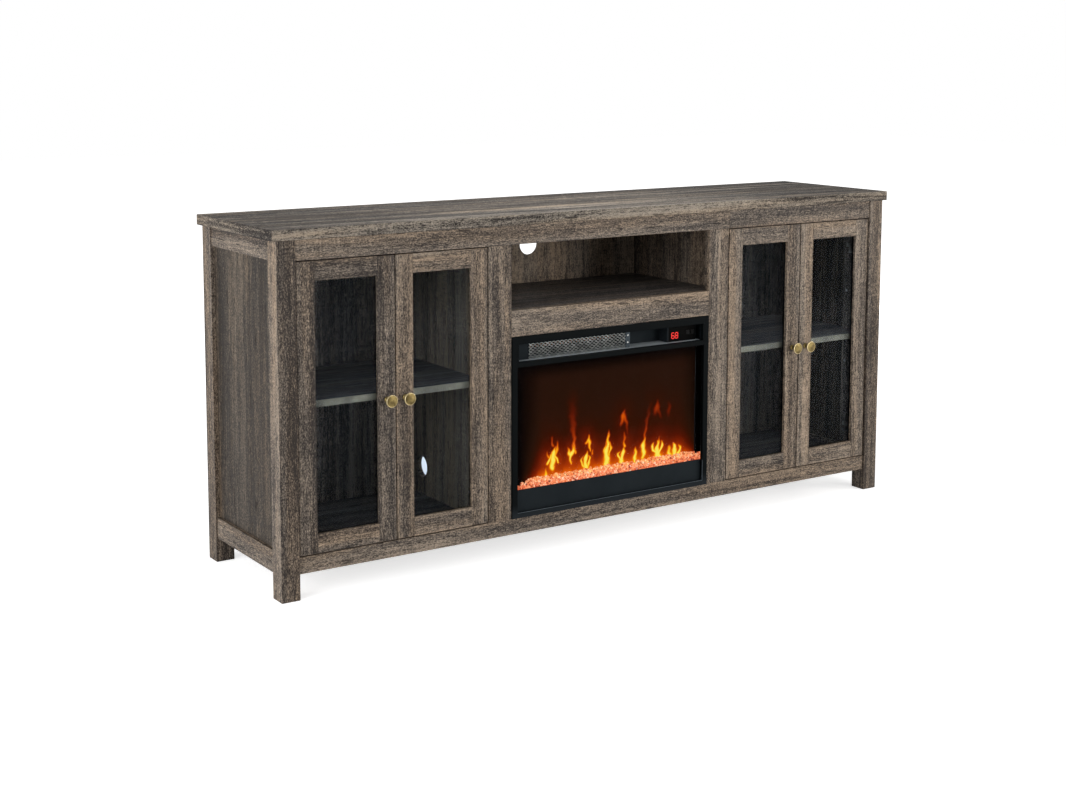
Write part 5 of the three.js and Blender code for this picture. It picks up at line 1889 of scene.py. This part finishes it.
    def control_face(self) -> None:
        """The dotted face behind the digits, cut out round the two keys."""
        low, high = self.control.low, self.control.high
        face_box = Box.spans(
            (low[0] + 3 * MM, high[0] - 1 * MM), (low[1] - 0.2 * MM, low[1] - 0.02 * MM),
            (low[2] + 1.2 * MM, high[2] - 1.2 * MM),
        )
        cutters = []
        for node in ("power_button", "heat_button"):
            key = Box.of(node)
            spans = [(key.low[axis] - self.key_gap, key.high[axis] + self.key_gap) for axis in range(3)]
            spans[1] = (face_box.low[1] - 1 * MM, face_box.high[1] + 1 * MM)
            cutters.append(eased_block(Box.spans(*spans), Grain.LEVEL, 0.2 * MM, 1))
        face = bored(eased_block(face_box, Grain.LEVEL, 0.06 * MM, 1), cutters)
        self.maker.piece("control_face", face, "control_face", "black_plastic", smooth=False)

    def digit_segment(self, way: str, x: float, z: float, front: float) -> Shell:
        """One bar of a digit: a six-sided plate, pointed at both ends.

        Args:
            way: level or upright.
            x: the place of its lower or left end.
            z: the height of that end.
            front: its front face on Y.

        Returns:
            The closed surface.
        """
        length = self.digit_width if way == "level" else self.digit_height / 2
        half, inset = self.digit_bar / 2, 0.35 * MM
        near, far = inset, length - inset
        along = np.array([near, near + half, far - half, far, far - half, near + half])
        aside = np.array([0, -half, -half, 0, half, half])
        across, up = (along, aside) if way == "level" else (aside, along)
        rings = [np.stack([x + across, np.full(6, y), z + up], axis=1) for y in (front, front + 0.2 * MM)]
        return Shell.lofted(np.array(rings))

    def works(self) -> None:
        """What the insert holds out of sight: the heater's wire, and the light strip with its bulbs."""
        duct, bed, tray = Box.of("blower_duct"), self.bed, self.well
        middle = (self.mid_bar[1] + self.trim.high[2] - self.trim_top) / 2
        angle = np.linspace(0, self.coil_turns * 2 * math.pi, self.coil_turns * self.coil_steps + 1)
        x = np.linspace(duct.low[0] + 12 * MM, duct.high[0] - 12 * MM, len(angle))
        coil_y, radius = duct.low[1] + 9 * MM, self.coil_radius
        path = np.stack([x, coil_y + radius * np.cos(angle), middle + radius * np.sin(angle)], axis=1)
        coil = swept(path, circle_outline(0.6 * MM, 5), np.array([1.0, 0.0, 0.0]))
        self.maker.piece("heater_wire", coil, "copper_coil", "nickel")
        depth = (bed.high[1] + 12 * MM, bed.high[1] + 22 * MM)
        rise = (tray.low[2] + 4 * MM, tray.low[2] + 5.6 * MM)
        strip = Box.spans((-self.strip_half, self.strip_half), depth, rise)
        self.maker.block("flame_light_strip", strip, Grain.LEVEL, 0.3 * MM, "board_green", "black_plastic")
        columns = np.linspace(-self.bulb_half, self.bulb_half, self.bulbs)
        bulbs = [Head.BULB.at((x, strip.middle()[1], rise[1]), axis=2) for x in columns]
        self.maker.heads("flame_light_bulbs", bulbs, "white_plastic", "clear_glass")

    def rear_cover(self) -> None:
        """What shows from behind: a cover plate with pressed louvres, its screws and the supply inlet."""
        low, high, inset = self.housing.low, self.housing.high, self.cover_inset
        depth = (high[1] + 0.05 * MM, high[1] + 1.2 * MM)
        plate = Box.spans((low[0] + inset, high[0] - inset), depth, (low[2] + inset, high[2] - inset))
        face = plate.high[1]
        shells = [eased_block(plate, Grain.LEVEL, 0.5 * MM, 2)]
        half_long, half_tall, proud = self.louvre
        depth = (face - 0.2 * MM, face + proud)
        for x in self.louvre_columns:
            for z in plate.high[2] - 30 * MM - self.louvre_pitch * np.arange(self.louvre_rows):
                box = Box.spans((x - half_long, x + half_long), depth, (z - half_tall, z + half_tall))
                shells.append(eased_block(box, Grain.LEVEL, half_tall * 0.8, 3))
        self.maker.piece("insert_rear_cover", Shell.joined(shells), "rear_steel", "black_steel")
        left, right = plate.low[0] + self.cover_screw_inset, plate.high[0] - self.cover_screw_inset
        foot, top = plate.low[2] + self.cover_screw_inset, plate.high[2] - self.cover_screw_inset
        places = [(x, face, z) for x in np.linspace(left, right, 5) for z in (foot, top)]
        places += [(x, face, z) for x in (left, right) for z in np.linspace(foot, top, 4)[1:-1]]
        self.maker.heads("insert_rear_screws", [Head.COVER_SCREW.at(place) for place in places])
        x, z = self.inlet
        depth = (face - 0.5 * MM, face + 3 * MM)
        inlet = Box.spans((x - 14 * MM, x + 14 * MM), depth, (z - 11 * MM, z + 11 * MM))
        self.maker.block("supply_inlet", inlet, Grain.LEVEL, 1.2 * MM, "black_plastic", "black_plastic", 3)


@dataclass(frozen=True)
class Lamp:
    """One square soft lamp that faces a target and isn't itself seen."""

    name: str
    place: tuple[float, float, float]
    target: tuple[float, float, float]
    size: float
    power: float
    colour: tuple[float, float, float]

    def hang(self) -> None:
        """Put the lamp into the scene."""
        data = bpy.data.lights.new(self.name, "AREA")
        data.shape = "SQUARE"
        data.size = self.size
        data.energy = self.power
        data.color = self.colour
        lamp = bpy.data.objects.new(self.name, data)
        lamp.visible_camera = False
        turn = (Vector(self.target) - Vector(self.place)).to_track_quat("-Z", "Y").to_matrix().to_4x4()
        lamp.matrix_world = Matrix.Translation(self.place) @ turn
        bpy.context.scene.collection.objects.link(lamp)


LAMPS = (
    Lamp("key_lamp", (1.55, -3.35, 0.98), (0.0, 0.0, 0.6), 1.2, 48.0, (1.0, 0.98, 0.955)),
    Lamp("side_lamp", (3.3, -2.5, 1.15), (0.3, 0.0, 0.5), 1.2, 50.0, (1.0, 0.98, 0.955)),
    Lamp("fill_lamp", (-3.5, -1.5, 1.2), (-0.5, 0.0, 0.4), 1.6, 58.0, (0.985, 0.99, 1.0)),
    Lamp("end_lamp", (-3.2, 0.25, 0.75), (-0.9, 0.0, 0.4), 1.2, 32.0, (1.0, 0.985, 0.97)),
    Lamp("rear_lamp", (2.8, 2.8, 0.42), (0.3, 0.0, 0.4), 0.7, 42.0, (1.0, 0.985, 0.97)),
    Lamp("top_lamp", (-0.1, -0.05, 1.55), (-0.1, 0.0, 0.8), 0.7, 9.0, (0.98, 0.99, 1.0)),
)


@dataclass
class Stage:
    """The floor, the lamps, the white surroundings and the camera."""

    camera_place: tuple[float, float, float] = (-2.3391874, -3.3706581, 1.184964)
    yaw: float = 0.5843
    pitch: float = 0.1211
    roll: float = 0.0018
    focal_pixels: float = 1673.6136
    centre_row: float = 250.0
    picture: tuple[int, int] = (1066, 800)
    sensor: float = 36.0
    ambient: float = 0.36
    floor_half: float = 14.0
    shadow_reach: tuple[float, float] = (1.0, 2.6)
    shadow_light: float = 0.62

    def build(self) -> None:
        """Make the stage."""
        self.camera()
        self.world()
        self.floor()
        for lamp in LAMPS:
            lamp.hang()

    def camera(self) -> None:
        """The camera at the photograph's viewing angle."""
        level = math.cos(self.pitch)
        forward = Vector((math.sin(self.yaw) * level, math.cos(self.yaw) * level, -math.sin(self.pitch)))
        right = Vector((math.cos(self.yaw), -math.sin(self.yaw), 0.0))
        up = right.cross(forward)
        turn = (math.cos(self.roll), math.sin(self.roll))
        rolled_right = right * turn[0] + up * turn[1]
        rolled_up = up * turn[0] - right * turn[1]
        axes = Matrix((rolled_right, rolled_up, -forward)).transposed()
        data = bpy.data.cameras.new("camera")
        width, height = self.picture
        data.sensor_fit = "HORIZONTAL"
        data.sensor_width = self.sensor
        data.lens = self.focal_pixels / width * self.sensor
        data.shift_y = -(height / 2 - self.centre_row) / width
        data.clip_end = 60.0
        camera = bpy.data.objects.new("camera", data)
        camera.matrix_world = Matrix.Translation(self.camera_place) @ axes.to_4x4()
        bpy.context.scene.collection.objects.link(camera)
        bpy.context.scene.camera = camera

    def world(self) -> None:
        """White where it is seen, directly or in a first reflection, and softer as a light."""
        world = bpy.data.worlds.new("white_room")
        world.use_nodes = True
        bpy.context.scene.world = world
        tree = Tree(world.node_tree)
        strength = tree.ranged(tree.seen_plainly(), 0.0, 1.0, self.ambient, 1.0)
        shine = tree.add("ShaderNodeBackground", {"Color": (1.0, 1.0, 1.0, 1.0), "Strength": strength})
        tree.add("ShaderNodeOutputWorld", {"Surface": shine.outputs[0]})

    def floor(self) -> None:
        """A pale floor that keeps a soft shadow near the stand and turns white further out."""
        half = self.floor_half
        corners = [(-half, -half, 0.0), (half, -half, 0.0), (half, half, 0.0), (-half, half, 0.0)]
        mesh = bpy.data.meshes.new("floor")
        mesh.from_pydata(corners, [], [(0, 1, 2, 3)])
        material, tree = new_material("pale_floor")
        away = tree.add("ShaderNodeVectorMath", {0: tree.object_place()}, operation="LENGTH").outputs["Value"]
        white = tree.ranged(away, self.shadow_reach[0], self.shadow_reach[1], self.shadow_light, 1.0)
        seen = tree.seen_plainly()
        matt = tree.add("ShaderNodeBsdfDiffuse", {"Color": (0.86, 0.86, 0.86, 1.0)}).outputs[0]
        glow = {"Color": (1.0, 1.0, 1.0, 1.0), "Strength": tree.times(white, seen)}
        shine = tree.add("ShaderNodeEmission", glow).outputs[0]
        tree.surface(tree.add("ShaderNodeAddShader", {0: matt, 1: shine}).outputs[0])
        mesh.materials.append(material)
        floor = bpy.data.objects.new("floor", mesh)
        bpy.context.scene.collection.objects.link(floor)


def main() -> None:
    """Build the stage and the stand."""
    logging.basicConfig(level=logging.INFO, format="%(name)s: %(message)s")
    bpy.context.scene.view_settings.view_transform = "Standard"
    Stage().build()
    maker = Maker(Finishes())
    Carcass(maker).build()
    for name, side in (("left_outer", -1), ("left_inner", 1), ("right_inner", -1), ("right_outer", 1)):
        Door(maker, name, side).build()
    Insert(maker).build()
    LOG.info("%d pieces made", maker.count)


if __name__ == "__main__":
    main()
